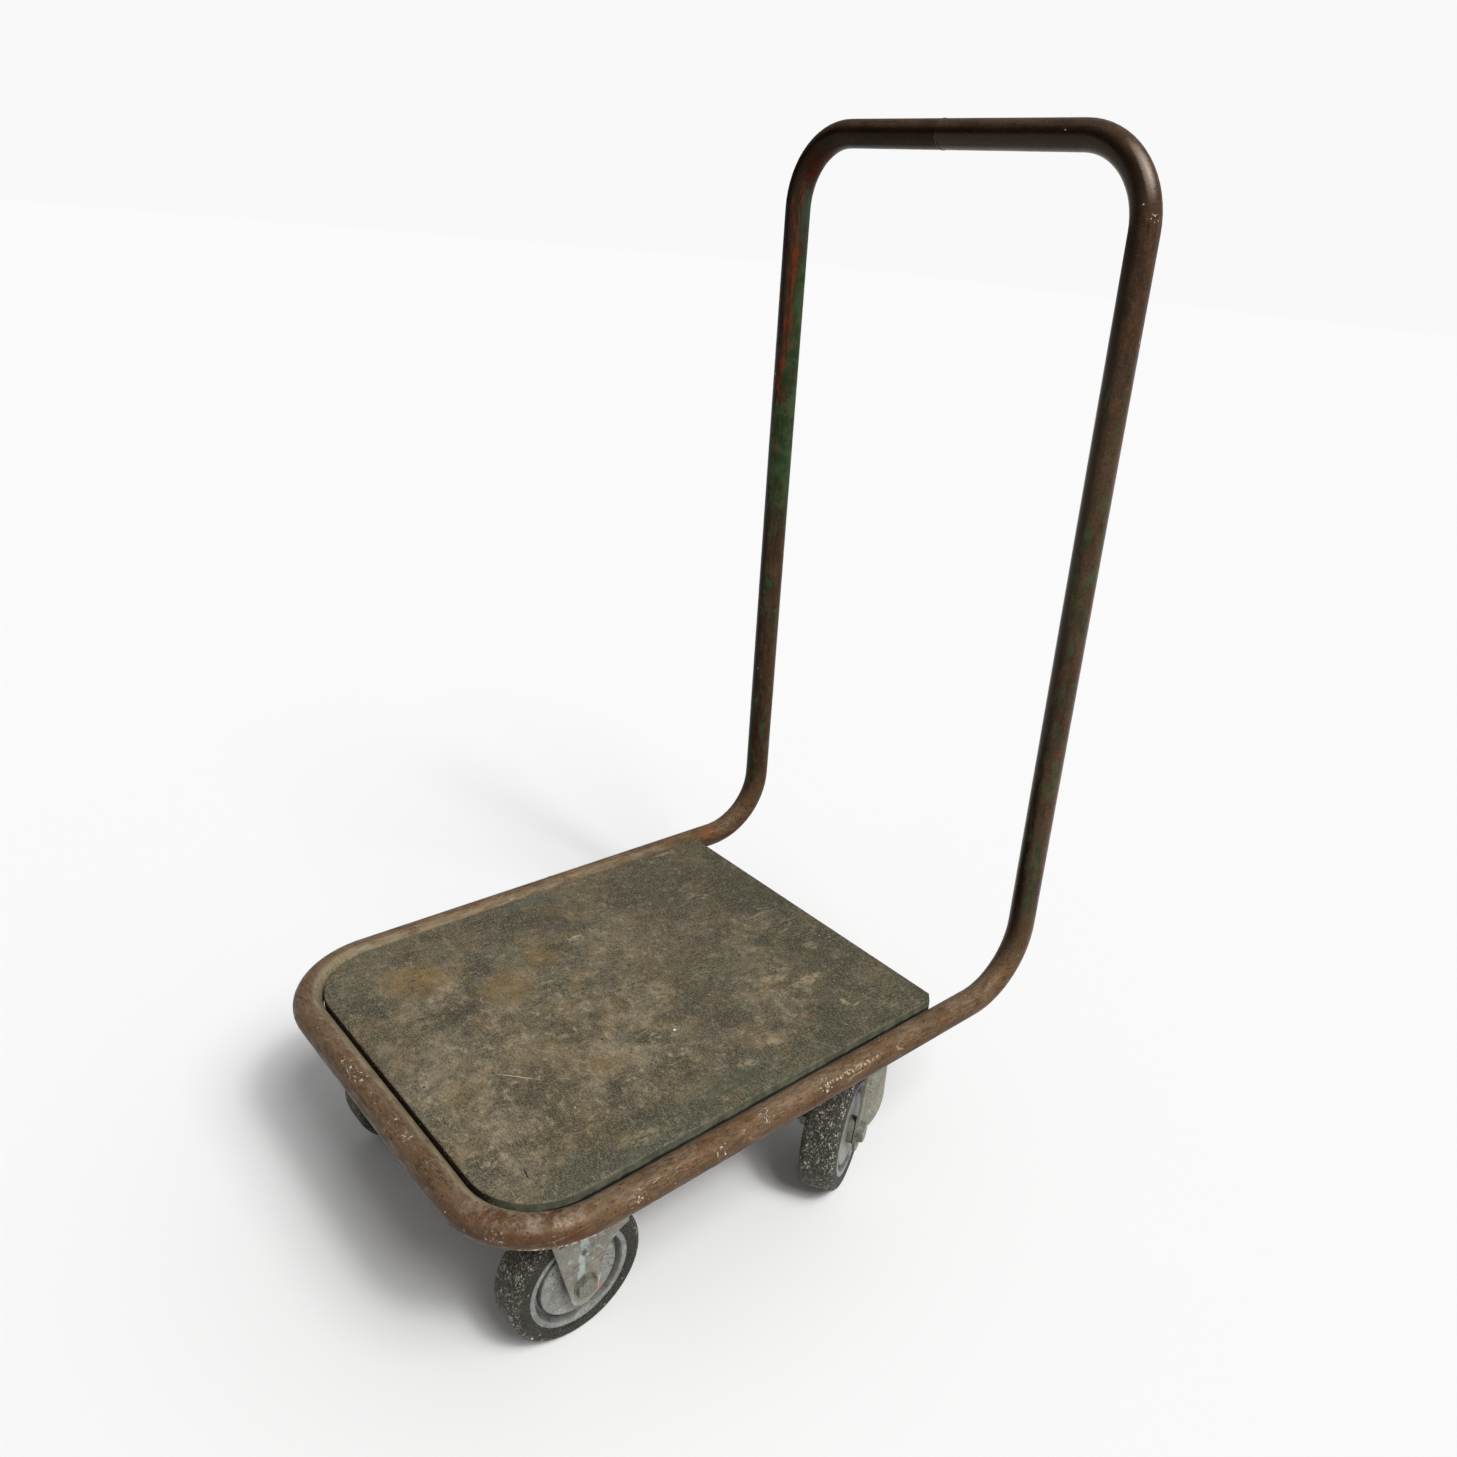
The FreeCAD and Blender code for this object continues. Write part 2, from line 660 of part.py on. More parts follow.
def main():
    os.makedirs("parts", exist_ok=True)

    front, right, left = frame_tubes()
    save("tube_front", front[0])
    save("tube_right", right[0])
    save("tube_left", left[0])
    save(
        "tube_welds",
        [
            weld_bead(vec(HALF_WIDTH, SIDE_SEAM_Y, DECK_TUBE_Z), Y_AXIS),
            weld_bead(vec(-HALF_WIDTH, SIDE_SEAM_Y, DECK_TUBE_Z), Y_AXIS),
            weld_bead(vec(TOP_SEAM_X, HALF_LENGTH, HANDLE_TOP_Z), X_AXIS),
        ],
    )

    bars = {
        "channel_front_fore": (FRONT_CASTER_Y - HOLE_Y, -1),
        "channel_front_aft": (FRONT_CASTER_Y + HOLE_Y, 1),
        "channel_rear_fore": (REAR_CASTER_Y - HOLE_Y, -1),
        "channel_rear_aft": (REAR_CASTER_Y + HOLE_Y, 1),
    }
    copes = [front[1], right[1], left[1]]
    board = board_blank()
    screws = []
    for name, (y, opening) in bars.items():
        save(name, channel(y, opening, copes, (SCREW_X, -SCREW_X)))
        for x in (SCREW_X, -SCREW_X):
            screw = put(wood_screw(), x, y, CHANNEL_BOTTOM_Z + CHANNEL - CHANNEL_WALL)
            screws.append(screw)
            board = board.cut(screw)
    save("deck_board", board)
    save("board_screws", screws)

    bolts = []
    nuts = []
    for caster_y in (FRONT_CASTER_Y, REAR_CASTER_Y):
        for side in (1, -1):
            for x in (HOLE_X, -HOLE_X):
                for y in (HOLE_Y, -HOLE_Y):
                    bolts.append(put(plate_bolt(), side * CASTER_X + x, caster_y + y, 0))
                    nuts.append(put(plate_nut(), side * CASTER_X + x, caster_y + y, 0))
    save("plate_bolts", bolts)
    save("plate_nuts", nuts)

    wheel = wheel_pieces()
    sides = {"right": (1, RIGHT_HEADING), "left": (-1, LEFT_HEADING)}
    fixed = {"bolts": [], "nuts": [], "washers": [], "sleeves": []}
    for name, (side, heading) in sides.items():
        x = side * CASTER_X
        save("fixed_plate_" + name, put(caster_plate(False), x, FRONT_CASTER_Y, 0))
        save("fixed_fork_" + name, put(fixed_fork(), x, FRONT_CASTER_Y, 0))
        fixed["bolts"].append(at_axle(axle_bolt(side), x, FRONT_CASTER_Y))
        fixed["nuts"].append(at_axle(axle_nut(side), x, FRONT_CASTER_Y))
        fixed["sleeves"].append(at_axle(axle_sleeve(), x, FRONT_CASTER_Y))
        fixed["washers"].extend(at_axle(axle_washers(), x, FRONT_CASTER_Y))
        for piece, shapes in wheel.items():
            save("front_" + piece + "_" + name, at_axle(shapes, x, FRONT_CASTER_Y))

        save("swivel_plate_" + name, put(caster_plate(True), x, REAR_CASTER_Y, 0))
        save("swivel_cup_" + name, put(upper_race(), x, REAR_CASTER_Y, 0))
        save("swivel_balls_" + name, [put(ball, x, REAR_CASTER_Y, 0) for ball in race_balls()])
        save("king_pin_" + name, put(king_pin(), x, REAR_CASTER_Y, 0))
        save("king_nut_" + name, [put(piece, x, REAR_CASTER_Y, 0) for piece in king_nut()])
        save("swivel_race_" + name, put(lower_race(), x, REAR_CASTER_Y, 0, heading))
        save("swivel_fork_" + name, put(swivel_fork(), x, REAR_CASTER_Y, 0, heading))
        turn = math.radians(heading)
        axle_x = x + TRAIL * math.sin(turn)
        axle_y = REAR_CASTER_Y - TRAIL * math.cos(turn)
        save("swivel_axle_bolt_" + name, at_axle(axle_bolt(side), axle_x, axle_y, heading))
        save("swivel_axle_nut_" + name, at_axle(axle_nut(side), axle_x, axle_y, heading))
        save("swivel_axle_washers_" + name, at_axle(axle_washers(), axle_x, axle_y, heading))
        save("swivel_axle_sleeve_" + name, at_axle(axle_sleeve(), axle_x, axle_y, heading))
        for piece, shapes in wheel.items():
            save("rear_" + piece + "_" + name, at_axle(shapes, axle_x, axle_y, heading))
    for piece, shapes in fixed.items():
        save("fixed_axle_" + piece, shapes)


main()
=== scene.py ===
import json
import math

import bpy
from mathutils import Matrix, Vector


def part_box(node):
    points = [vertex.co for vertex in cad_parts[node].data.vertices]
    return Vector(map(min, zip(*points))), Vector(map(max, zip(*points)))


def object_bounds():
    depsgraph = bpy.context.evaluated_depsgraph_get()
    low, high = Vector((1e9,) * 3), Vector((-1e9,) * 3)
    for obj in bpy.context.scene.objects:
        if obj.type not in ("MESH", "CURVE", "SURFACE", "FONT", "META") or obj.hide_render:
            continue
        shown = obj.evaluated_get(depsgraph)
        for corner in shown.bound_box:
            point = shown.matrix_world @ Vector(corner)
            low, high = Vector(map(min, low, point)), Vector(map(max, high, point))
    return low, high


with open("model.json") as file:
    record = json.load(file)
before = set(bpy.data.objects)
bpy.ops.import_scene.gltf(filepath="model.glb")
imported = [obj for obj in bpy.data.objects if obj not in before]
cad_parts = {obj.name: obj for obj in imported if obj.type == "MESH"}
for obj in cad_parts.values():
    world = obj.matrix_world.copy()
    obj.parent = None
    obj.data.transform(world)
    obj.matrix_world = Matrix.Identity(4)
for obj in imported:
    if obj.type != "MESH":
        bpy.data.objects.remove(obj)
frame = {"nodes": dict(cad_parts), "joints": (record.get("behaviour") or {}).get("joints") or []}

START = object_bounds()
NODES = frame["nodes"]


def rgb(r, g, b):
    """A display colour, 0 to 255 each, as the linear colour that shaders take."""
    linear = []
    for channel in (r, g, b):
        c = channel / 255
        linear.append(c / 12.92 if c <= 0.04045 else ((c + 0.055) / 1.055) ** 2.4)
    return (*linear, 1.0)


def mm(*values):
    return tuple(value / 1000 for value in values)


class Shader:
    """A node material on one Principled shader, with short ways to add the nodes it needs."""

    def __init__(self, name, metallic=0.0, specular=0.5, tint=(1.0, 1.0, 1.0, 1.0)):
        self.material = bpy.data.materials.new(name)
        self.material.use_nodes = True
        self.tree = self.material.node_tree
        self.tree.nodes.clear()
        self.out = self.add("ShaderNodeOutputMaterial")
        self.bsdf = self.add("ShaderNodeBsdfPrincipled")
        self.put(self.out.inputs["Surface"], self.bsdf.outputs[0])
        self.bsdf.inputs["Metallic"].default_value = metallic
        self.bsdf.inputs["Specular IOR Level"].default_value = specular
        self.bsdf.inputs["Specular Tint"].default_value = tint
        source = self.add("ShaderNodeTexCoord")
        self.place = source.outputs["Object"]
        self.normal = source.outputs["Normal"]
        self.x, self.y, self.z = self.split(self.place)
        self.nx, self.ny, self.nz = self.split(self.normal)

    def add(self, kind, **settings):
        node = self.tree.nodes.new(kind)
        for key, value in settings.items():
            setattr(node, key, value)
        return node

    def put(self, socket, value):
        if isinstance(value, bpy.types.NodeSocket):
            self.tree.links.new(value, socket)
        else:
            socket.default_value = value

    def split(self, vector):
        node = self.add("ShaderNodeSeparateXYZ")
        self.put(node.inputs[0], vector)
        return node.outputs[0], node.outputs[1], node.outputs[2]

    def join(self, x, y, z):
        node = self.add("ShaderNodeCombineXYZ")
        for socket, value in zip(node.inputs, (x, y, z)):
            self.put(socket, value)
        return node.outputs[0]

    def math(self, operation, *values):
        node = self.add("ShaderNodeMath", operation=operation)
        for socket, value in zip(node.inputs, values):
            self.put(socket, value)
        return node.outputs[0]

    def vector(self, operation, *values):
        node = self.add("ShaderNodeVectorMath", operation=operation)
        for socket, value in zip(node.inputs, values):
            self.put(socket, value)
        return node.outputs["Value" if operation in ("LENGTH", "DOT_PRODUCT") else "Vector"]

    def plus(self, first, second):
        return self.math("ADD", first, second)

    def minus(self, first, second):
        return self.math("SUBTRACT", first, second)

    def all_of(self, *masks):
        """Product of the masks, and of any plain numbers among them."""
        result = masks[0]
        for mask in masks[1:]:
            result = self.math("MULTIPLY", result, mask)
        return result

    def any_of(self, *masks):
        result = masks[0]
        for mask in masks[1:]:
            result = self.math("MAXIMUM", result, mask)
        return result

    def toward(self, direction):
        """How far the surface faces a direction, from -1 to 1."""
        return self.vector("DOT_PRODUCT", self.normal, direction)

    def step(self, value, low, high, start=0.0, end=1.0):
        """Goes smoothly from start to end as value goes from low to high."""
        node = self.add("ShaderNodeMapRange", interpolation_type="SMOOTHSTEP")
        for key, item in (
            ("Value", value),
            ("From Min", low),
            ("From Max", high),
            ("To Min", start),
            ("To Max", end),
        ):
            self.put(node.inputs[key], item)
        return node.outputs[0]

    def mix(self, share, first, second):
        """A colour that goes from first to second as share goes from 0 to 1."""
        node = self.add("ShaderNodeMix", data_type="RGBA")
        self.put(node.inputs[0], share)
        self.put(node.inputs[6], first)
        self.put(node.inputs[7], second)
        return node.outputs[2]

    def over(self, colour, tint, *masks):
        """colour with tint laid over it where all the masks are 1."""
        return self.mix(self.all_of(*masks), colour, tint)

    def layers(self, colour, *rows):
        """Lays tints over colour. A row has a field, its low and high level, the strength and the tint."""
        for field, low, high, strength, tint in rows:
            colour = self.mix(self.step(field, low, high, 0.0, strength), colour, rgb(*tint))
        return colour

    def lerp(self, share, first, second):
        """A number that goes from first to second as share goes from 0 to 1."""
        node = self.add("ShaderNodeMix", data_type="FLOAT")
        self.put(node.inputs[0], share)
        self.put(node.inputs[2], first)
        self.put(node.inputs[3], second)
        return node.outputs[0]

    def blend(self, share, first, second):
        """A vector that goes from first to second as share goes from 0 to 1."""
        node = self.add("ShaderNodeMix", data_type="VECTOR")
        self.put(node.inputs[0], share)
        self.put(node.inputs[4], first)
        self.put(node.inputs[5], second)
        return node.outputs[1]

    def stretch(self, scale, shift=(0, 0, 0), turn=(0, 0, 0), at=None):
        node = self.add("ShaderNodeMapping")
        self.put(node.inputs["Vector"], at or self.place)
        node.inputs["Location"].default_value = shift
        node.inputs["Rotation"].default_value = turn
        node.inputs["Scale"].default_value = scale
        return node.outputs[0]

    def local(self, centre, turn_z):
        """Coordinates about centre in axes turned about Z."""
        node = self.add("ShaderNodeMapping", vector_type="TEXTURE")
        self.put(node.inputs["Vector"], self.place)
        node.inputs["Location"].default_value = centre
        node.inputs["Rotation"].default_value = (0, 0, turn_z)
        return node.outputs[0]

    def noise(self, scale, detail=3.0, rough=0.55, at=None, seed=0.0, twist=0.0):
        point = at or self.place
        if seed:
            point = self.stretch((1, 1, 1), (seed, 1.7 * seed, 0.6 * seed), at=point)
        node = self.add("ShaderNodeTexNoise")
        self.put(node.inputs["Vector"], point)
        node.inputs["Scale"].default_value = scale
        node.inputs["Detail"].default_value = detail
        node.inputs["Roughness"].default_value = rough
        node.inputs["Distortion"].default_value = twist
        return node.outputs["Fac"]

    def patches(self, scale, low, high, **options):
        return self.step(self.noise(scale, **options), low, high)

    def warped(self, scale, amount, seed=0.0):
        """Object coordinates pushed about, so that marks have ragged borders."""
        point = self.stretch((1, 1, 1), (seed, -seed, 2 * seed))
        node = self.add("ShaderNodeTexNoise")
        self.put(node.inputs["Vector"], point)
        node.inputs["Scale"].default_value = scale
        node.inputs["Detail"].default_value = 4.0
        push = self.vector("SUBTRACT", node.outputs["Color"], (0.5, 0.5, 0.5))
        push = self.vector("MULTIPLY", push, (amount, amount, amount))
        return self.vector("ADD", self.place, push)

    def spot(self, centre, size, turn=(0, 0, 0), edge=0.4, at=None):
        """1 inside an ellipsoid with those half sizes, falling to 0 over the outer part."""
        node = self.add("ShaderNodeMapping", vector_type="TEXTURE")
        self.put(node.inputs["Vector"], at or self.place)
        node.inputs["Location"].default_value = centre
        node.inputs["Rotation"].default_value = turn
        node.inputs["Scale"].default_value = size
        ball = self.add("ShaderNodeTexGradient", gradient_type="SPHERICAL")
        self.put(ball.inputs[0], node.outputs[0])
        return self.step(ball.outputs["Fac"], 0.0, edge)

    def dots(self, scale, radius, share, seed=0.0):
        """Scattered round dots: radius is a share of the cell, share the portion of cells with one."""
        point = self.stretch((1, 1, 1), (seed, 0.3 * seed, -seed))
        node = self.add("ShaderNodeTexVoronoi")
        self.put(node.inputs["Vector"], point)
        node.inputs["Scale"].default_value = scale
        red = self.split(node.outputs["Color"])[0]
        chosen = self.math("GREATER_THAN", red, 1.0 - share)
        near = self.step(node.outputs["Distance"], radius, 0.6 * radius)
        return self.all_of(chosen, near)

    def lines(self, scale, stretch, turn, width, seed):
        """Thin long scratches: narrow bands along the middle level of a stretched noise."""
        field = self.noise(scale, 2.0, 0.5, at=self.stretch(stretch, turn=turn), seed=seed)
        off = self.math("ABSOLUTE", self.minus(field, 0.5))
        return self.step(off, width, 0.35 * width)

    def finish(self, colour, roughness, height=None, distance=0.0005, strength=1.0):
        self.put(self.bsdf.inputs["Base Color"], colour)
        self.put(self.bsdf.inputs["Roughness"], roughness)
        if height is not None:
            bump = self.add("ShaderNodeBump")
            bump.inputs["Distance"].default_value = distance
            bump.inputs["Strength"].default_value = strength
            self.put(bump.inputs["Height"], height)
            self.put(self.bsdf.inputs["Normal"], bump.outputs[0])
        return self.material


def dress(material, *names):
    for name in names:
        mesh = NODES[name].data
        mesh.materials.clear()
        mesh.materials.append(material)


def named(*starts):
    return [name for name in NODES if name.startswith(starts)]


# Frame tube

TUBE_LOW, TUBE_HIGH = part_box("tube_front")
TUBE_R = (TUBE_HIGH.z - TUBE_LOW.z) / 2
SIDE_X = TUBE_HIGH.x - TUBE_R
FRONT_Y = TUBE_LOW.y + TUBE_R
DECK_Z = (TUBE_LOW.z + TUBE_HIGH.z) / 2
HANDLE_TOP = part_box("tube_right")[1].z
HANDLE_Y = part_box("tube_right")[1].y - TUBE_R
BEND = 0.080
BROWN_SHEEN = (1.0, 0.75, 0.52, 1.0)

# where the left upright's green paint starts, and where it goes all the way round its front
PAINT_FOOT = 0.56
PAINT_FULL = 0.64
PAINT_ROUND = 0.70
PAINT_HALF = 0.80

# the way across the left upright from its bare side to its painted side
PAINTED_SIDE = (0.68, 0.74, 0.0)
# the inner front of the right upright, and the facing of the bend above it where the key light's highlight
# is painted
FLECKED_SIDE = (0.70, -0.72, 0.0)
HIGHLIGHT_SIDE = Vector((0.73, -0.52, 0.45)).normalized()


def by_tube(dx, dy, dz):
    """A point given in millimetres from the meeting of the right and front deck tube centrelines."""
    return (SIDE_X + dx / 1000, FRONT_Y + dy / 1000, DECK_Z + dz / 1000)


# groups of pale flecks: place by_tube, and radius, in millimetres
FLECK_GROUPS = (
    (9, 311, 10, 11), (7, 243, 11, 9), (12, 191, 5, 9), (-5, 395, 12, 7), (-27, 3, 4, 6),
    (-21, 8, 4, 6), (-251, -5, 12, 10), (-240, -4, 13, 10), (-267, -4, 13, 8), (11, 588, 749, 6),
    (12, 599, 654, 5), (-150, -3, 13, 6), (11, 110, 7, 7), (-175, -4, 13, 5),
)


class TubeSteel(Shader):
    """Rust-brown steel, darker on the handle, with old green paint and red primer left on it."""

    def __init__(self, name, specular):
        super().__init__(name, specular=specular, tint=BROWN_SHEEN)
        self.inset = self.deck_inset()
        self.upright = self.step(self.z, DECK_Z + 0.005, DECK_Z + 0.119)
        self.off_upright = self.minus(1.0, self.upright)
        self.bar = self.step(self.z, HANDLE_TOP - 0.075, HANDLE_TOP - 0.03)
        run = self.along_tube()
        self.grain = self.noise(230, 5.0, 0.65, at=run)
        self.streak = self.noise(640, 3.0, 0.6, at=run, seed=4.0)
        self.broad = self.noise(13, 3.0, 0.6, seed=3.1)
        self.blotch = self.noise(58, 5.0, 0.65, seed=7.7)
        self.fine = self.noise(520, 3.0, 0.65, seed=1.9)
        self.tall = self.stretch((1, 1, 0.3))

        jitter = self.minus(self.noise(95, 5.0, 0.7, at=self.tall, seed=21.0), 0.5)
        jitter = self.all_of(jitter, 1.9)
        self.ragged_z = self.plus(self.z, self.all_of(jitter, 0.06))
        self.ragged_side = self.plus(self.toward(PAINTED_SIDE), jitter)
        self.left = self.step(self.x, -0.05, -0.14)
        self.below_bend = self.step(self.ragged_z, HANDLE_TOP - 0.045, HANDLE_TOP - 0.070)

    def deck_inset(self):
        """Distance in plan from the deck tube's centreline, positive on the side of the board."""
        across = self.minus(self.math("ABSOLUTE", self.x), SIDE_X - BEND)
        ahead = self.minus(FRONT_Y + BEND, self.y)
        past_x = self.math("MAXIMUM", across, 0.0)
        past_y = self.math("MAXIMUM", ahead, 0.0)
        corner = self.vector("LENGTH", self.join(past_x, past_y, 0.0))
        flat = self.math("MINIMUM", self.math("MAXIMUM", across, ahead), 0.0)
        return self.minus(BEND, self.plus(corner, flat))

    def along_tube(self):
        """Object coordinates drawn out along each run of the tube."""
        along_x = self.stretch((0.22, 1, 1))
        along_y = self.stretch((1, 0.22, 1))
        along_z = self.stretch((1, 1, 0.22))
        front = self.step(self.y, FRONT_Y + 0.05, FRONT_Y + 0.01)
        level = self.blend(front, along_y, along_x)
        raised = self.blend(self.step(self.z, DECK_Z + 0.03, DECK_Z + 0.05), level, along_z)
        return self.blend(self.bar, raised, along_x)

    def front_bend(self):
        """The front right bend, and where its top is rubbed bright, which also carries a painted glint."""
        bend = self.spot(by_tube(-20, 26, 6), mm(70, 70, 34), edge=0.6)
        rubbed = self.patches(80, 0.42, 0.64, seed=23.0, detail=6.0, rough=0.7)
        return bend, self.all_of(bend, self.step(self.nz, 0.45, 0.85), rubbed)

    def deck_part(self, bend, glint):
        up = self.step(self.nz, -0.1, 0.8)
        wear_and_sheen = self.patches(26, 0.42, 0.60, seed=11.3, detail=4.0)
        colour = self.mix(self.step(self.broad, 0.36, 0.64), rgb(88, 66, 45), rgb(102, 80, 57))
        colour = self.layers(
            colour,
            (self.blotch, 0.52, 0.66, 0.5, (94, 58, 36)),
            (self.blotch, 0.46, 0.36, 0.6, (74, 58, 40)),
            (self.grain, 0.53, 0.62, 0.45, (122, 101, 78)),
            (self.grain, 0.47, 0.38, 0.6, (62, 44, 29)),
        )
        # Pale streaks on the upward faces: part wear, part painted sheen.
        colour = self.over(colour, rgb(144, 130, 114), up, self.step(self.streak, 0.48, 0.62), wear_and_sheen, 0.4)
        colour = self.layers(
            colour,
            (self.fine, 0.58, 0.66, 0.3, (136, 118, 94)),
            (self.fine, 0.43, 0.35, 0.5, (52, 37, 25)),
        )
        # Painted sheen along the top of the tube.
        painted_sheen = self.all_of(
            self.step(self.nz, 0.5, 0.95),
            self.patches(17, 0.40, 0.62, seed=41.0, detail=4.0),
            self.step(self.streak, 0.35, 0.6, 0.5, 1.0),
        )
        colour = self.over(colour, rgb(136, 118, 98), painted_sheen, 0.35)
        rust = self.patches(70, 0.40, 0.56, seed=27.0, detail=5.0)
        colour = self.over(colour, rgb(82, 50, 30), bend, rust, 0.6)
        # Painted glint on the top of the front bend, over steel rubbed bright there.
        colour = self.over(colour, rgb(160, 145, 131), glint, self.step(self.fine, 0.36, 0.6, 0.4, 0.75))
        colour = self.over(colour, self.smear_tint(), self.smear())
        # Painted shade on the underside, lighter on the side towards the key light, in part darker rust.
        low = self.all_of(self.step(self.nz, 0.75, -0.2), self.step(self.nx, 0.2, 0.7, 0.85, 0.5))
        return self.over(colour, rgb(50, 29, 15), low)

    def smear(self):
        """Old pale paint that runs along the side next to the board, strongest at the front."""
        return self.all_of(
            self.step(self.inset, 0.0020, 0.0062),
            self.step(self.x, 0.205, 0.16),
            self.step(self.y, 0.19, 0.12),
            self.patches(34, 0.22, 0.44, seed=5.0),
            self.step(self.y, -0.12, -0.22, 0.45, 0.85),
        )

    def smear_tint(self):
        return self.mix(self.step(self.grain, 0.38, 0.62), rgb(116, 104, 82), rgb(142, 132, 108))

    def painted_highlight(self):
        """Painted highlight on the outer front of the right bend, where the key light reflects."""
        bend = self.spot((SIDE_X - 0.012, HANDLE_Y - 0.008, HANDLE_TOP - 0.040), mm(30, 24, 40), edge=0.6)
        facing = self.step(self.toward(HIGHLIGHT_SIDE), 0.90, 0.99)
        return self.all_of(bend, facing, self.step(self.fine, 0.30, 0.55, 0.55, 1.0))

    def handle_part(self, painted_highlight):
        colour = self.mix(self.step(self.broad, 0.35, 0.65), rgb(54, 39, 27), rgb(69, 51, 38))
        colour = self.layers(
            colour,
            (self.grain, 0.52, 0.64, 0.5, (84, 62, 46)),
            (self.blotch, 0.54, 0.68, 0.5, (90, 56, 36)),
            (self.grain, 0.47, 0.36, 0.7, (42, 30, 21)),
            (self.fine, 0.58, 0.68, 0.35, (112, 95, 78)),
            (self.fine, 0.43, 0.34, 0.45, (30, 21, 14)),
        )
        # Painted shade: near-black on the faces turned away from the key light and on the top bar's lower
        # faces, in patches; in part dark old paint.
        off_light_side = self.all_of(self.step(self.ny, 0.5, -0.3), self.step(self.nx, 0.55, -0.10))
        painted_shade = self.lerp(self.bar, off_light_side, self.step(self.nz, 0.62, 0.15))
        colour = self.over(colour, rgb(20, 11, 5), painted_shade, self.patches(26, 0.16, 0.36, seed=2.2), 0.9)
        # Pale painted highlight where the key light reflects on the right bend.
        return self.over(colour, rgb(168, 152, 144), painted_highlight, 0.55)

    def green_paint(self):
        """Mask of the green paint left on the uprights and under the top bar."""
        solid = self.patches(75, 0.40, 0.46, seed=6.1, detail=6.0, rough=0.65, at=self.tall)
        solid = self.all_of(self.step(self.ragged_z, PAINT_FOOT, PAINT_FULL), self.below_bend, solid)
        thin = self.patches(85, 0.53, 0.60, seed=8.3, detail=5.0, rough=0.65, at=self.tall)
        thin = self.all_of(thin, self.step(self.ragged_z, HANDLE_TOP - 0.03, HANDLE_TOP - 0.08))
        edge = self.step(self.z, PAINT_ROUND, PAINT_HALF, -0.85, 0.02)
        painted = self.step(self.minus(self.ragged_side, edge), -0.08, 0.08)
        on_left = self.all_of(self.left, painted, self.any_of(solid, thin))
        on_right = self.all_of(
            self.patches(110, 0.50, 0.56, seed=12.1, detail=5.0, rough=0.65, at=self.tall),
            self.patches(16, 0.40, 0.52, seed=4.4),
            self.step(self.toward(FLECKED_SIDE), 0.35, 0.85),
            self.step(self.x, 0.05, 0.12),
            self.step(self.z, 0.84, 0.74),
        )
        under_bar = self.all_of(
            self.bar,
            self.step(self.nz, -0.2, -0.7),
            self.patches(40, 0.48, 0.60, seed=18.0),
        )
        return self.any_of(on_left, self.all_of(on_right, 0.75), self.all_of(under_bar, 0.15))

    def green_tint(self):
        colour = self.mix(self.step(self.blotch, 0.4, 0.62), rgb(32, 55, 30), rgb(54, 77, 50))
        return self.layers(
            colour,
            (self.z, 0.86, 0.92, 1.0, (60, 76, 62)),
            (self.z, HANDLE_TOP - 0.075, HANDLE_TOP - 0.05, 1.0, (34, 40, 28)),
            (self.grain, 0.50, 0.60, 0.5, (72, 66, 46)),
            (self.fine, 0.44, 0.34, 0.5, (24, 34, 20)),
        )

    def red_primer(self):
        """Masks of the primer streaks beside the green paint, and of the patch in the left bend."""
        beside = self.minus(self.ragged_side, self.step(self.z, 0.75, 0.84, -0.40, 0.02))
        streaks = self.all_of(
            self.patches(70, 0.46, 0.53, seed=15.0, detail=5.0, rough=0.7, at=self.stretch((1, 1, 0.22))),
            self.left,
            self.step(self.ragged_z, 0.62, 0.74),
            self.step(beside, -0.45, -0.20),
            self.step(beside, 0.40, 0.15),
            self.step(self.ny, 0.2, -0.1),
            self.below_bend,
        )
        bend = self.spot((-SIDE_X + 0.035, HANDLE_Y, HANDLE_TOP - 0.048), mm(24, 30, 34), edge=0.5)
        bend = self.all_of(bend, self.step(self.nz, -0.1, -0.5), self.patches(90, 0.36, 0.5, seed=3.3))
        return streaks, bend

    def rear_primer(self):
        """Patch of primer on the left rear bend."""
        centre = (-SIDE_X + 0.008, HANDLE_Y - 0.085, DECK_Z + 0.010)
        patch = self.spot(centre, mm(10, 16, 8), at=self.warped(160, 0.012))
        return self.all_of(patch, self.patches(220, 0.44, 0.54, seed=29.0))

    def pale_flecks(self):
        chips = self.all_of(
            self.patches(340, 0.70, 0.73, detail=3.0, rough=0.6, seed=31.0),
            self.patches(20, 0.50, 0.60, seed=13.0),
            self.step(self.inset, 0.008, -0.002),
            self.off_upright,
        )
        crumbs = self.patches(330, 0.57, 0.61, detail=5.0, rough=0.72, seed=17.0)
        groups = [self.spot(by_tube(dx, dy, dz), mm(r, r, r), edge=0.5) for dx, dy, dz, r in FLECK_GROUPS]
        grouped = self.all_of(self.any_of(*groups), crumbs)
        return self.any_of(chips, grouped, self.dots(170, 0.12, 0.02, seed=5.5))

    def bright_scratches(self):
        side = self.spot(by_tube(9.5, 345, 9.5), mm(2.6, 50, 2.6), edge=0.5)
        bend = self.spot(by_tube(1, 50, -7), mm(9, 46, 4.5), turn=(0, 0, math.radians(-21)), edge=0.5)
        broken = self.patches(330, 0.50, 0.55, detail=3.0, seed=19.0)
        return self.all_of(self.any_of(self.all_of(side, 0.45), bend), broken)

    def build(self):
        bend, glint = self.front_bend()
        painted_highlight = self.painted_highlight()
        paint = self.green_paint()
        primer, bend_primer = self.red_primer()

        handle = self.handle_part(painted_highlight)
        handle = self.over(handle, self.green_tint(), paint, 0.9)
        red = self.mix(self.step(self.grain, 0.4, 0.6), rgb(66, 34, 20), rgb(116, 52, 30))
        handle = self.over(handle, red, primer, 0.75)
        handle = self.over(handle, rgb(60, 16, 8), bend_primer, 0.8)

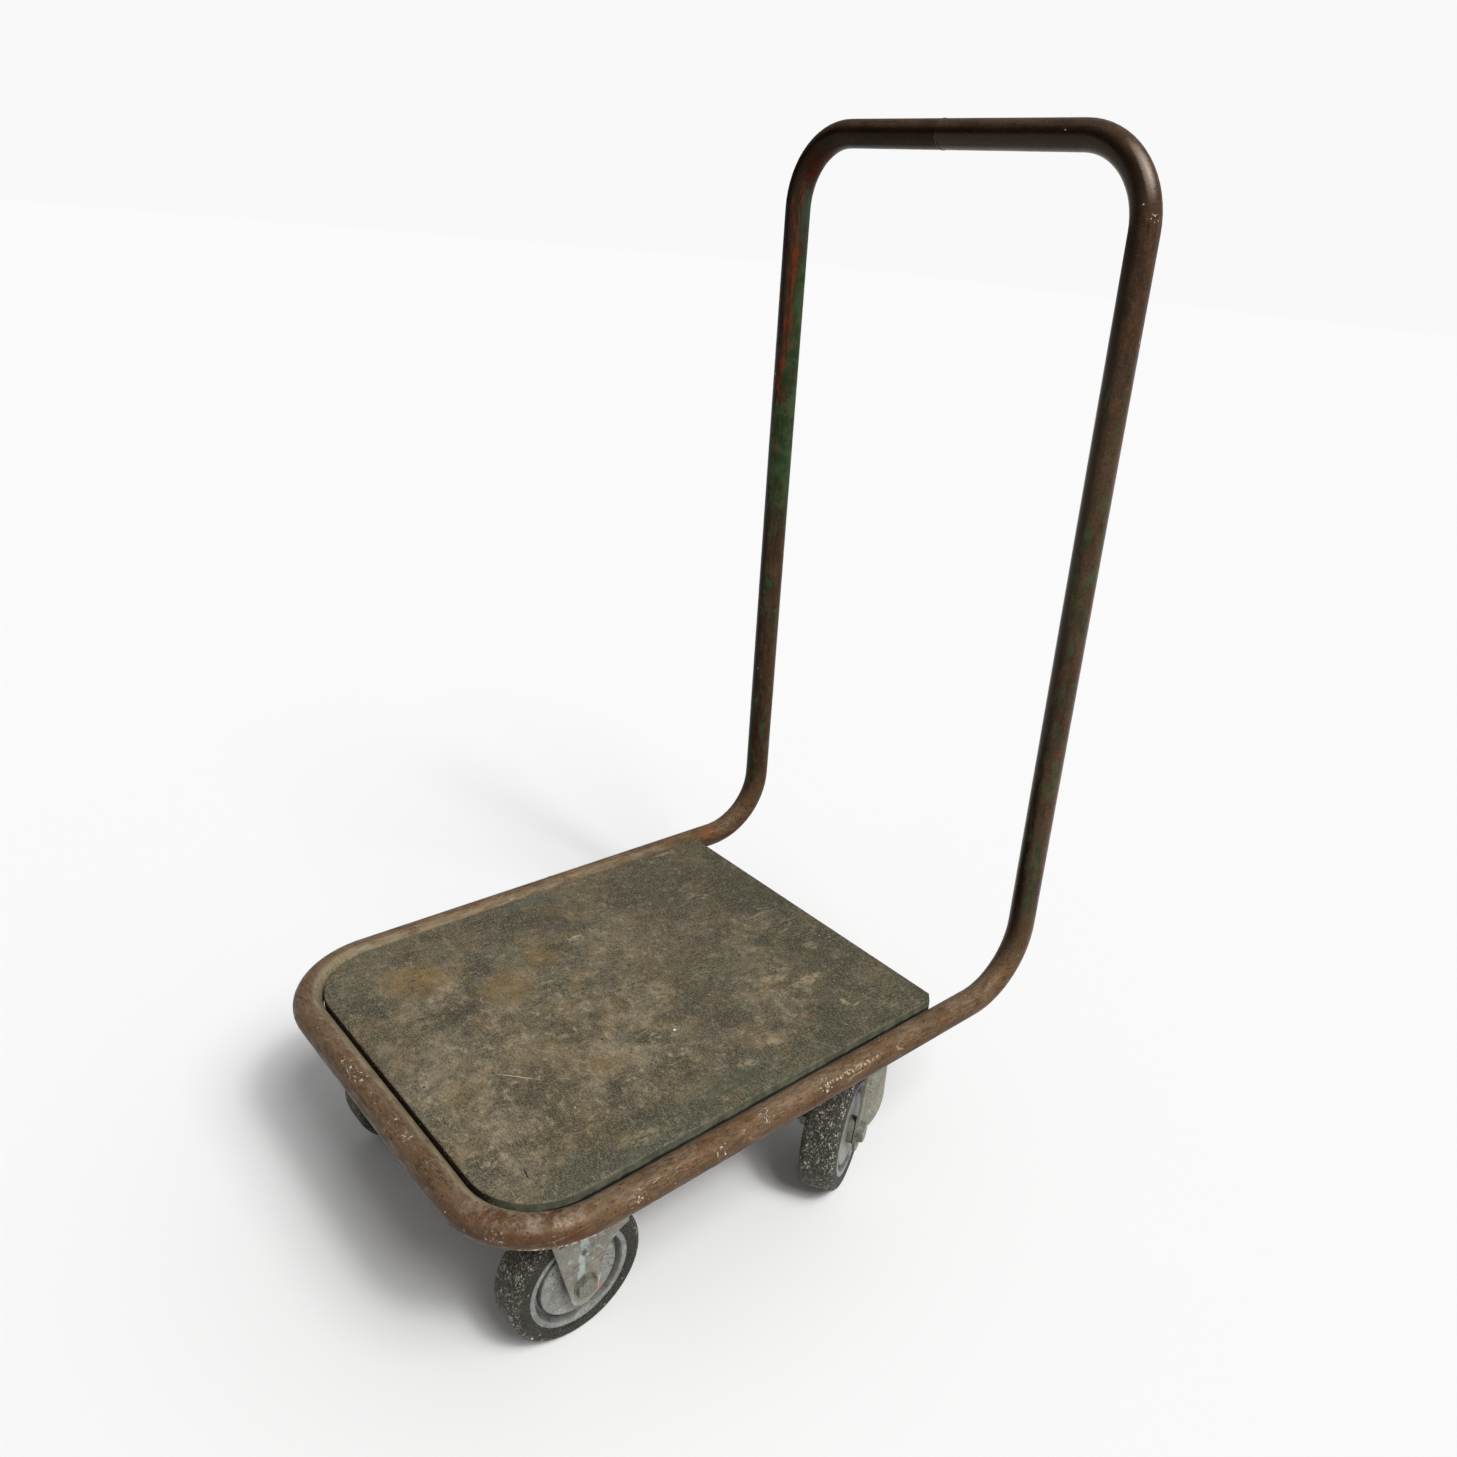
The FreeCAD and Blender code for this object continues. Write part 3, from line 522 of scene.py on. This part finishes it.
        colour = self.mix(self.upright, self.deck_part(bend, glint), handle)
        colour = self.over(colour, rgb(130, 66, 40), self.rear_primer(), 0.6)
        colour = self.over(colour, rgb(214, 206, 190), self.pale_flecks())
        colour = self.over(colour, rgb(222, 200, 170), self.bright_scratches())
        scored = self.lines(60, (1, 0.08, 1), (0, 0, 0.1), 0.006, 25.0)
        scored_area = self.patches(30, 0.50, 0.58, seed=26.0)
        colour = self.over(colour, rgb(170, 152, 128), scored, self.off_upright, scored_area, 0.5)
        pits = self.dots(330, 0.40, 0.14, seed=9.1)
        colour = self.over(colour, rgb(36, 25, 16), pits, 0.6)

        deck_rough = self.step(self.grain, 0.35, 0.65, 0.58, 0.38)
        handle_rough = self.step(self.blotch, 0.3, 0.7, 0.22, 0.34)
        rough = self.lerp(self.upright, deck_rough, handle_rough)
        rough = self.lerp(self.any_of(glint, painted_highlight), rough, 0.3)
        rough = self.lerp(self.any_of(paint, primer, bend_primer), rough, 0.5)
        height = self.plus(self.all_of(self.blotch, 0.4), self.all_of(self.fine, 0.25))
        height = self.plus(height, self.all_of(paint, 0.12))
        height = self.minus(height, self.all_of(pits, 0.25))
        return self.finish(colour, rough, height, 0.0005, 0.55)


# Deck board

BOARD_LOW, BOARD_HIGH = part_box("deck_board")
BOARD_MID = (BOARD_LOW + BOARD_HIGH) / 2

BEIGE = (162, 146, 112)
OCHRE = (124, 100, 60)
BLUE = (78, 90, 84)
VIOLET = (70, 62, 60)
BLACK = (20, 18, 14)
PALE = (180, 166, 136)

# rubbed areas: place from the board's middle and half sizes in millimetres, strength
RUBBED_AREAS = (
    (62, -50, 120, 105, 1.0), (30, -95, 170, 125, 0.7), (30, -185, 130, 70, 0.9),
    (120, -195, 90, 65, 1.0), (-110, -160, 85, 70, 0.7), (-60, -40, 100, 90, 0.5),
    (85, 120, 70, 70, 0.5), (-70, 30, 110, 80, 0.5), (140, 60, 50, 90, 0.5), (0, 150, 90, 60, 0.3),
)

# ragged marks: place and half sizes in millimetres, turn in degrees, colour, strength
RAGGED_MARKS = (
    (79, 123, 9, 27, 6, BEIGE, 0.75),
    (100, 151, 8, 27, 4, BEIGE, 0.75),
    (150, 157, 12, 3, 15, BEIGE, 0.8),
    (158, 164, 3, 9, -10, BEIGE, 0.8),
    (97, 111, 13, 1.6, 3, PALE, 0.6),
    (153, 61, 9, 10, 0, BEIGE, 0.7),
    (162, 20, 8, 14, 20, BEIGE, 0.6),
    (57, 196, 10, 10, 0, BEIGE, 0.55),
    (-190, 183, 5, 22, 0, BEIGE, 0.5),
    (179, -106, 12, 26, 10, BEIGE, 0.5),
    (-133, -150, 5, 40, 4, (140, 120, 80), 0.7),
    (-127, -161, 40, 40, 0, OCHRE, 0.85),
    (-62, -96, 40, 36, 0, OCHRE, 0.7),
    (-90, -40, 26, 22, 0, OCHRE, 0.7),
    (-186, 2, 10, 34, 0, BLUE, 0.75),
    (193, -120, 8, 40, 0, BLUE, 0.4),
    (172, -5, 18, 40, 0, (70, 78, 62), 0.6),
    (-140, -3, 24, 26, 0, VIOLET, 0.65),
    (20, -42, 22, 16, 0, (96, 78, 68), 0.5),
    (86, -85, 16, 12, 0, OCHRE, 0.7),
    (-100, 4, 5, 10, 0, PALE, 0.85),
    (-16, -196, 12, 16, 12, (128, 114, 94), 0.8),
    (9, -200, 12, 9, 12, (132, 114, 98), 0.75),
    (-46, -223, 14, 12, 0, (126, 113, 92), 0.7),
    (-83, -213, 5, 5, 0, (160, 118, 76), 0.75),
    (25, 22, 22, 18, 0, BEIGE, 0.45),
    (0, 5, 22, 26, 0, BEIGE, 0.35),
    (-94, 100, 5, 44, 16, (124, 114, 92), 0.5),
    (145, 111, 5, 5, 0, (132, 82, 44), 0.8),
    (52, 221, 22, 9, 0, (52, 48, 44), 0.6),
)

# sharp marks: place and half sizes in millimetres, turn in degrees, colour
SHARP_MARKS = (
    (84, -3, 1.7, 1.7, 0, (235, 235, 230)),
    (55, -64, 1.8, 1.2, 0, BLACK),
    (51, -60, 1.1, 1.1, 0, BLACK),
    (19, -218, 1.6, 1.2, 0, BLACK),
    (157, -200, 7, 0.7, 10, BLACK),
    (54, -150, 24, 0.7, -42, (176, 158, 124)),
    (38, -164, 1.2, 1.2, 0, BLACK),
    (117, -131, 1.2, 1.2, 0, PALE),
    (48, 217, 1.2, 0.9, 0, PALE),
    (57, 224, 1.4, 0.8, 0, PALE),
    (63, 219, 1.0, 1.0, 0, PALE),
    (26, 123, 1.3, 1.3, 0, BLACK),
)


def on_board(dx, dy):
    """A point on the board's top, in millimetres from its middle."""
    return (BOARD_MID.x + dx / 1000, BOARD_MID.y + dy / 1000, BOARD_HIGH.z)


class BoardPaint(Shader):
    """Worn green paint on plywood, rubbed to beige in the middle."""

    def __init__(self, name):
        super().__init__(name, specular=0.2)
        self.fibre = self.noise(640, 4.0, 0.65, at=self.stretch((0.45, 1, 1)))
        self.grain = self.noise(250, 5.0, 0.7, at=self.stretch((0.28, 1, 1)), seed=3.0)
        self.broad = self.noise(8.5, 3.0, 0.55, seed=1.3)
        self.cloud = self.noise(20, 6.0, 0.62, seed=6.6, twist=0.4)
        self.mottle = self.noise(75, 6.0, 0.62, seed=2.4, twist=0.3)
        self.flake = self.noise(190, 4.0, 0.58, at=self.stretch((0.7, 1, 1)), seed=14.0)
        self.hue = self.noise(30, 5.0, 0.6, seed=19.0)
        self.dust = self.noise(900, 2.0, 0.6, seed=8.8)

    def old_paint(self):
        """The paint before it was rubbed, greener along the right edge and darker at the rear."""
        colour = self.mix(self.step(self.broad, 0.36, 0.64), rgb(74, 70, 55), rgb(98, 90, 72))
        colour = self.layers(
            colour,
            (self.hue, 0.52, 0.60, 0.45, (86, 85, 73)),
            (self.hue, 0.48, 0.40, 0.55, (102, 86, 60)),
            (self.cloud, 0.47, 0.36, 0.75, (64, 61, 49)),
        )
        from_right = self.minus(BOARD_HIGH.x, self.x)
        from_rear = self.minus(BOARD_HIGH.y, self.y)
        border = self.any_of(self.step(from_right, 0.060, 0.008), self.step(from_rear, 0.11, 0.03, 0.0, 0.7))
        colour = self.over(colour, rgb(78, 80, 65), border, self.step(self.cloud, 0.60, 0.44), 0.8)
        rear = self.step(from_rear, 0.22, 0.04)
        return self.over(colour, rgb(60, 57, 44), rear, self.step(self.cloud, 0.62, 0.40, 0.4, 1.0), 0.65)

    def rubbed_areas(self):
        rubbed = 0.0
        for dx, dy, rx, ry, strength in RUBBED_AREAS:
            area = self.spot(on_board(dx, dy), (rx / 1000, ry / 1000, 1.0), edge=0.8)
            rubbed = self.any_of(rubbed, self.all_of(area, strength))
        return rubbed

    def rub(self, colour, rubbed):
        """Beige wood and chips where the paint is rubbed, dark remains where it isn't."""
        patchy = self.step(self.cloud, 0.44, 0.54, 0.22, 1.0)
        beige = self.mix(self.step(self.hue, 0.42, 0.58), rgb(134, 117, 88), rgb(126, 115, 95))
        colour = self.over(colour, beige, rubbed, patchy, self.step(self.mottle, 0.38, 0.52, 0.5, 0.95))
        chips = self.all_of(
            self.step(self.mottle, 0.535, 0.555),
            self.step(self.cloud, 0.42, 0.54, 0.3, 1.0),
            self.step(self.grain, 0.40, 0.50, 0.4, 1.0),
        )
        colour = self.over(colour, rgb(142, 129, 104), chips, self.step(rubbed, 0.0, 0.9, 0.12, 0.48))
        flakes = self.all_of(self.step(self.flake, 0.575, 0.59), self.step(self.mottle, 0.46, 0.54))
        colour = self.over(colour, rgb(158, 145, 119), flakes, self.step(rubbed, 0.0, 0.9, 0.25, 0.7))
        dark = self.all_of(
            self.step(self.mottle, 0.46, 0.44),
            self.step(self.cloud, 0.58, 0.42, 0.35, 1.0),
            self.step(self.grain, 0.60, 0.50, 0.4, 1.0),
        )
        return self.over(colour, rgb(62, 58, 47), dark, 0.34)

    def scratched(self, colour):
        """Wood grain, scuffs, fine scratches and dust."""
        colour = self.layers(
            colour,
            (self.flake, 0.42, 0.40, 0.4, (58, 55, 46)),
            (self.fibre, 0.54, 0.63, 0.45, (144, 132, 108)),
            (self.fibre, 0.46, 0.37, 0.5, (48, 44, 36)),
            (self.grain, 0.44, 0.36, 0.3, (56, 52, 42)),
        )
        scuff = self.noise(520, 3.0, 0.6, at=self.stretch((1, 0.12, 1), turn=(0, 0, 0.12)), seed=5.0)
        scuffed = self.patches(19, 0.48, 0.58, seed=9.4)
        colour = self.over(colour, rgb(146, 134, 110), self.step(scuff, 0.57, 0.61), scuffed, 0.4)
        # scale, stretch, turn, width and seed of the scratches, then scale, levels and seed of their areas
        sets = (
            (34, (1, 0.1, 1), 0.35, 0.0022, 31.0, 40, 0.52, 0.56, 32.0),
            (38, (0.1, 1, 1), 0.25, 0.0022, 33.0, 36, 0.52, 0.56, 34.0),
            (30, (1, 0.1, 1), -0.7, 0.0018, 35.0, 38, 0.54, 0.58, 36.0),
        )
        scratches = 0.0
        for scale, stretch, turn, width, seed, area_scale, low, high, area_seed in sets:
            lines = self.lines(scale, stretch, (0, 0, turn), width, seed)
            lines = self.all_of(lines, self.patches(area_scale, low, high, seed=area_seed))
            scratches = self.any_of(scratches, lines)
        colour = self.over(colour, rgb(160, 146, 120), scratches, 0.45)
        return self.layers(
            colour,
            (self.dust, 0.56, 0.66, 0.5, (158, 148, 126)),
            (self.dust, 0.44, 0.34, 0.6, (42, 39, 32)),
        )

    def marked(self, colour):
        """Stains, bare patches, single scratches and specks."""
        ragged = self.warped(120, 0.014, 2.0)
        broken = self.step(self.noise(300, 4.0, 0.7, at=self.stretch((1, 0.5, 1)), seed=12.0), 0.40, 0.56)
        for dx, dy, rx, ry, turn, tint, strength in RAGGED_MARKS:
            size = (rx / 1000, ry / 1000, 1.0)
            mark = self.spot(on_board(dx, dy), size, (0, 0, math.radians(-turn)), edge=0.7, at=ragged)
            colour = self.over(colour, rgb(*tint), mark, broken, strength)
        for dx, dy, rx, ry, turn, tint in SHARP_MARKS:
            size = (rx / 1000, ry / 1000, 1.0)
            mark = self.spot(on_board(dx, dy), size, (0, 0, math.radians(-turn)), edge=0.5)
            colour = self.over(colour, rgb(*tint), mark)
        colour = self.over(colour, rgb(*BLACK), self.dots(120, 0.10, 0.05, seed=2.0))
        return self.over(colour, rgb(*PALE), self.dots(150, 0.09, 0.05, seed=7.0))

    def cut_edges(self, bare, plies):
        """Green at the right and the corners, bare dark plies at the front, and painted shade with dirt low
        in the gap to the tube.
        """
        ragged_z = self.plus(self.z, self.all_of(self.mottle, 0.003))
        # Painted shade and dirt low on the side faces, in the gap to the tube.
        gap_shade_and_dirt = self.step(ragged_z, BOARD_HIGH.z - 0.0058, BOARD_HIGH.z - 0.0072)
        green = self.mix(self.step(self.mottle, 0.4, 0.62), rgb(84, 86, 70), rgb(108, 108, 90))
        wood = self.mix(self.step(plies, 0.42, 0.58), rgb(26, 21, 17), rgb(66, 54, 42))
        wood = self.over(wood, rgb(170, 158, 134), self.dots(520, 0.42, 0.12, seed=5.0))
        sides = self.mix(bare, green, wood)
        return self.over(sides, rgb(20, 16, 12), gap_shade_and_dirt, self.step(self.ny, 0.7, 0.3), 0.9)

    def build(self):
        colour = self.rub(self.old_paint(), self.rubbed_areas())
        colour = self.marked(self.scratched(colour))
        edge = self.step(self.nz, 0.75, 0.35)
        bare = self.all_of(
            self.step(self.ny, -0.8, -0.97),
            self.step(self.y, BOARD_LOW.y + 0.02, BOARD_LOW.y + 0.004),
        )
        plies = self.noise(900, 3.0, 0.7, at=self.stretch((0.08, 1, 1.6)), seed=4.0)
        colour = self.over(colour, self.cut_edges(bare, plies), edge)
        wood = self.mix(self.step(self.grain, 0.4, 0.6), rgb(78, 66, 50), rgb(96, 82, 62))
        colour = self.over(colour, wood, self.step(self.nz, -0.5, -0.9))

        height = self.plus(self.all_of(self.fibre, 0.35), self.all_of(self.mottle, 0.5))
        height = self.plus(height, self.all_of(bare, edge, plies))
        return self.finish(colour, self.step(self.mottle, 0.35, 0.65, 0.82, 0.6), height, 0.0005, 0.5)


# Casters

WHEELS = {}
for joint in frame["joints"]:
    if joint["name"].endswith("_spin"):
        WHEELS[joint["child"]] = (Vector(joint["pos_m"]), math.atan2(joint["axis"][1], joint["axis"][0]))

TREAD_FROM = 0.0555
TREAD_FULL = 0.0590
GROOVE_IN = 0.0355
GROOVE_OUT = 0.0430


def wheel_radius(s, centre, heading):
    """Distance from the wheel's axis."""
    _, v, w = s.split(s.local(centre, heading))
    return s.vector("LENGTH", s.join(0.0, v, w))


def tyre_rubber(name, centre, heading, grit_and_light):
    """Black rubber with pale grit pressed into the tread."""
    s = Shader(name, specular=0.25)
    tread = s.step(wheel_radius(s, centre, heading), TREAD_FROM, TREAD_FULL)
    cloud = s.noise(55, 4.0, 0.6, seed=2.0)
    fine_run = s.stretch((1, 0.6, 0.6), turn=(0.5, 0.4, 0))
    fine_grit = s.patches(700, 0.55, 0.59, detail=4.0, rough=0.7, seed=4.0, at=fine_run)
    large_run = s.stretch((1, 1, 0.5), turn=(0.6, 0, 0))
    large_grit = s.patches(300, 0.59, 0.62, detail=5.0, rough=0.7, seed=5.0, at=large_run)
    # A share under 1 leaves out grit and pale wear and so darkens the tyre: part less grit, part painted
    # shade.
    grit = s.all_of(s.any_of(fine_grit, large_grit), grit_and_light)
    grit_tint = s.mix(s.patches(210, 0.38, 0.62, seed=8.0), rgb(132, 127, 108), rgb(222, 214, 194))
    worn = s.step(s.noise(140, 5.0, 0.7, seed=6.0), 0.36, 0.58, 0.25, 1.0)
    colour = s.mix(s.step(cloud, 0.35, 0.65), rgb(28, 28, 24), rgb(48, 47, 41))
    colour = s.over(colour, rgb(78, 76, 66), tread, worn, 0.30 * grit_and_light)
    colour = s.over(colour, grit_tint, tread, grit, worn)
    colour = s.over(colour, rgb(140, 134, 116), s.dots(260, 0.3, 0.05, seed=3.0))
    dust = s.patches(700, 0.56, 0.62, detail=3.0, seed=13.0)
    colour = s.over(colour, rgb(110, 105, 90), dust, 0.5)
    height = s.plus(s.all_of(grit, tread, 0.8), s.all_of(cloud, 0.3))
    height = s.plus(height, s.all_of(s.noise(260, 4.0, 0.7, seed=9.0), tread))
    return s.finish(colour, s.step(cloud, 0.3, 0.7, 0.55, 0.75), height, 0.0008, 0.9)


def grey_base(s, first, second, rust, seed):
    """Colour, mottle and height of dull grey metal with dirt, pale wear and some rust."""
    broad = s.noise(24, 4.0, 0.6, seed=seed + 1)
    mottle = s.noise(130, 6.0, 0.72, seed=seed + 2)
    fine = s.noise(620, 3.0, 0.65, seed=seed + 3)
    colour = s.mix(s.step(broad, 0.35, 0.65), first, second)
    colour = s.layers(
        colour,
        (mottle, 0.46, 0.38, 0.5, (78, 72, 60)),
        (mottle, 0.55, 0.63, 0.55, (176, 175, 162)),
        (fine, 0.57, 0.66, 0.45, (186, 184, 170)),
        (fine, 0.43, 0.35, 0.5, (66, 62, 54)),
    )
    rusty = s.patches(48, 0.54, 0.62, seed=seed + 5, detail=5.0)
    colour = s.over(colour, rgb(96, 60, 36), rusty, s.step(fine, 0.35, 0.55), rust)
    colour = s.over(colour, rgb(60, 42, 30), s.dots(240, 0.26, 0.05, seed=seed + 2))
    scratches = s.lines(40, (1, 0.1, 0.5), (0.4, 0.2, 0.6), 0.005, seed)
    colour = s.over(colour, rgb(60, 56, 50), scratches, 0.4)
    height = s.plus(s.all_of(mottle, 0.5), s.all_of(fine, 0.3))
    return colour, mottle, height


def grey_steel(name, first, second, rust=0.3, metallic=0.3, rough=(0.38, 0.6)):
    s = Shader(name, metallic=metallic)
    colour, mottle, height = grey_base(s, first, second, rust, 0.0)
    return s.finish(colour, s.step(mottle, 0.3, 0.7, *rough), height, 0.0003, 0.6)


def dripped_fork(centre):
    """Fixed fork on the right: grey steel with runs of pale paint on its outer leg."""
    s = Shader("dripped_fork_steel", metallic=0.15)
    colour, mottle, height = grey_base(s, rgb(122, 119, 108), rgb(140, 137, 126), 0.3, 3.0)
    ragged = s.warped(260, 0.006, 1.0)
    outer = s.step(s.nx, 0.4, 0.8)

    def run(dy, dz, ry, rz, lean):
        """Place from the axle and half sizes in millimetres, lean in degrees."""
        place = (centre.x + 0.026, centre.y + dy / 1000, centre.z + dz / 1000)
        return s.spot(place, (0.02, ry / 1000, rz / 1000), (math.radians(lean), 0, 0), edge=0.45, at=ragged)

    drips = s.any_of(
        run(-0.8, 47, 4.8, 11, 0),
        run(-3.5, 24, 3.8, 16, 4),
        run(-5, 8, 3.4, 12, 6),
        run(26, 28, 3.0, 14, -24),
        run(20, 12, 2.6, 14, -18),
        run(14.5, -4, 2.8, 10, -10),
    )
    colour = s.over(colour, rgb(164, 176, 174), outer, drips, s.step(mottle, 0.36, 0.52, 0.45, 0.9))
    colour = s.over(colour, rgb(46, 66, 50), outer, run(-1.2, 36, 3.6, 4, 0), 0.85)
    colour = s.over(colour, rgb(104, 70, 46), outer, run(10, 6, 2, 2, 0), 0.6)
    colour = s.over(colour, rgb(90, 62, 44), outer, run(-10, 25, 2.4, 3, 0), 0.6)
    return s.finish(colour, s.step(mottle, 0.3, 0.7, 0.5, 0.68), height, 0.0003, 0.6)


def rim_steel(name, centre, heading, splashed):
    """Pressed steel discs, with painted shade in the groove and dark grime about the hub; one has a splash
    of orange paint.
    """
    s = Shader(name, metallic=0.3)
    colour, mottle, height = grey_base(s, rgb(118, 120, 116), rgb(138, 139, 134), 0.25, 7.0)
    radius = wheel_radius(s, centre, heading)
    # Painted shade in the disc's groove.
    groove_shade = s.all_of(
        s.step(radius, GROOVE_IN, GROOVE_IN + 0.0017),
        s.step(radius, GROOVE_OUT, GROOVE_OUT - 0.0025),
    )
    colour = s.over(colour, rgb(56, 56, 58), groove_shade, 0.55)
    grime = s.step(radius, 0.020, 0.014)
    colour = s.over(colour, rgb(78, 60, 44), grime, s.step(mottle, 0.3, 0.6, 0.5, 1.0), 0.5)
    scratch_at = centre + Vector(mm(17, -24, -5))
    scratch = s.spot(scratch_at, mm(6, 9.5, 0.45), (math.radians(36), 0, 0), edge=0.6)
    colour = s.over(colour, rgb(40, 36, 32), scratch, 0.8)
    if splashed:
        splash_at = centre + Vector(mm(20, 20, -26))
        ragged = s.warped(300, 0.005)
        splash = s.spot(splash_at, mm(10, 4, 9), (math.radians(20), 0, 0), edge=0.6, at=ragged)
        colour = s.over(colour, rgb(206, 92, 62), splash, s.patches(300, 0.40, 0.46, seed=7.0), 0.9)
    return s.finish(colour, s.step(mottle, 0.3, 0.7, 0.36, 0.55), height, 0.0003, 0.6)


CASTER_SHEET = ("fixed_fork", "fixed_plate", "swivel_fork", "swivel_plate", "swivel_cup", "swivel_race")
HARDWARE = ("bolt", "nut", "washer", "king", "hub", "sleeve", "screws")


def dress_all():
    dress(TubeSteel("tube_steel_front", 0.30).build(), "tube_front", "tube_welds")
    dress(TubeSteel("tube_steel_left", 0.08).build(), "tube_left")
    dress(TubeSteel("tube_steel_right", 0.22).build(), "tube_right")
    dress(BoardPaint("board_paint").build(), "deck_board")
    channels = grey_steel("channel_paint", rgb(52, 56, 44), rgb(64, 58, 46), rust=0.8, metallic=0.0)
    dress(channels, *named("channel"))
    casters = grey_steel(
        "caster_steel", rgb(116, 115, 100), rgb(132, 130, 115), metallic=0.2, rough=(0.45, 0.65)
    )
    dress(casters, *named(*CASTER_SHEET))
    dress(dripped_fork(WHEELS["front_wheel_right"][0]), "fixed_fork_right")
    hardware = [name for name in NODES if any(word in name for word in HARDWARE)]
    dress(grey_steel("fastener_steel", rgb(108, 107, 95), rgb(122, 120, 106), rust=0.5), *hardware)
    bearings = grey_steel(
        "bearing_steel", rgb(140, 140, 138), rgb(112, 112, 110), rust=0.1, metallic=0.9, rough=(0.2, 0.4)
    )
    dress(bearings, *[name for name in NODES if "balls" in name or "bush" in name])
    for body, (centre, heading) in WHEELS.items():
        place, side = body.split("_wheel_")
        # The left tyres get less grit and wear, which also paints the deck's shade on them.
        grit_and_light = 1.0 if side == "right" else 0.4
        tyre = tyre_rubber("tyre_rubber_%s_%s" % (place, side), centre, heading, grit_and_light)
        dress(tyre, "%s_tyre_%s" % (place, side))
        splashed = (place, side) == ("front", "right")
        rim = rim_steel("rim_steel_%s_%s" % (place, side), centre, heading, splashed)
        dress(rim, "%s_rim_%s" % (place, side))


# Floor, light and camera

FLOOR_SIZE = 80
FLOOR_GLOW = 0.945
SUN_FROM = Vector((0.60, 0.05, 0.80)).normalized()
ROOM_SIDE = Vector((0.50, 0.40, 0.77)).normalized()
ROOM_DIM = 0.03
ROOM_BRIGHT = 0.66
SUNS = (("key", 2.15, 30), ("key_core", 0.65, 8))

SENSOR_WIDTH = 36.0
LENS = 28.338
SHIFT = (-0.0691, -0.0157)
EYE = (0.78324, -0.59750, 0.88623)
EYE_TURN = (1.188949, -0.090305, 0.812888)


def lay_floor():
    s = Shader("floor_white", specular=0.0)
    tint = s.mix(s.noise(1.4, 3.0, 0.5), (0.885, 0.885, 0.885, 1), (0.895, 0.895, 0.89, 1))
    bpy.ops.mesh.primitive_plane_add(size=FLOOR_SIZE, location=(0, 0, START[0].z))
    ground = bpy.context.object
    ground.name = "floor"
    ground.data.materials.append(s.finish(tint, 1.0))


def studio_world():
    """Soft room light, brighter on the key light's side; the backdrop is as pale as the floor."""
    world = bpy.data.worlds.new("studio")
    world.use_nodes = True
    tree = world.node_tree
    tree.nodes.clear()
    out = tree.nodes.new("ShaderNodeOutputWorld")
    seen = tree.nodes.new("ShaderNodeLightPath")
    room = tree.nodes.new("ShaderNodeBackground")
    back = tree.nodes.new("ShaderNodeBackground")
    both = tree.nodes.new("ShaderNodeMixShader")
    where = tree.nodes.new("ShaderNodeTexCoord")
    dot = tree.nodes.new("ShaderNodeVectorMath")
    dot.operation = "DOT_PRODUCT"
    dot.inputs[1].default_value = ROOM_SIDE
    level = tree.nodes.new("ShaderNodeMapRange")
    level.inputs["From Min"].default_value = -0.5
    level.inputs["From Max"].default_value = 1.0
    level.inputs["To Min"].default_value = ROOM_DIM
    level.inputs["To Max"].default_value = ROOM_BRIGHT
    tree.links.new(where.outputs["Generated"], dot.inputs[0])
    tree.links.new(dot.outputs["Value"], level.inputs["Value"])
    tree.links.new(level.outputs[0], room.inputs["Strength"])
    back.inputs["Color"].default_value = (FLOOR_GLOW, FLOOR_GLOW, FLOOR_GLOW, 1)
    tree.links.new(seen.outputs["Is Camera Ray"], both.inputs[0])
    tree.links.new(room.outputs[0], both.inputs[1])
    tree.links.new(back.outputs[0], both.inputs[2])
    tree.links.new(both.outputs[0], out.inputs[0])
    return world


def light_scene():
    """A wide soft sun with a smaller one in its middle, for short highlights."""
    bpy.context.scene.world = studio_world()
    for name, energy, spread in SUNS:
        sun = bpy.data.lights.new(name, "SUN")
        sun.energy = energy
        sun.angle = math.radians(spread)
        lamp = bpy.data.objects.new(name, sun)
        lamp.rotation_euler = (-SUN_FROM).to_track_quat("-Z", "Y").to_euler()
        bpy.context.scene.collection.objects.link(lamp)


def place_camera():
    camera = bpy.data.cameras.new("camera")
    camera.sensor_width = SENSOR_WIDTH
    camera.lens = LENS
    camera.shift_x, camera.shift_y = SHIFT
    eye = bpy.data.objects.new("camera", camera)
    bpy.context.scene.collection.objects.link(eye)
    eye.location = EYE
    eye.rotation_euler = EYE_TURN
    bpy.context.scene.camera = eye


dress_all()
lay_floor()
light_scene()
place_camera()
bpy.context.scene.view_settings.view_transform = "Standard"
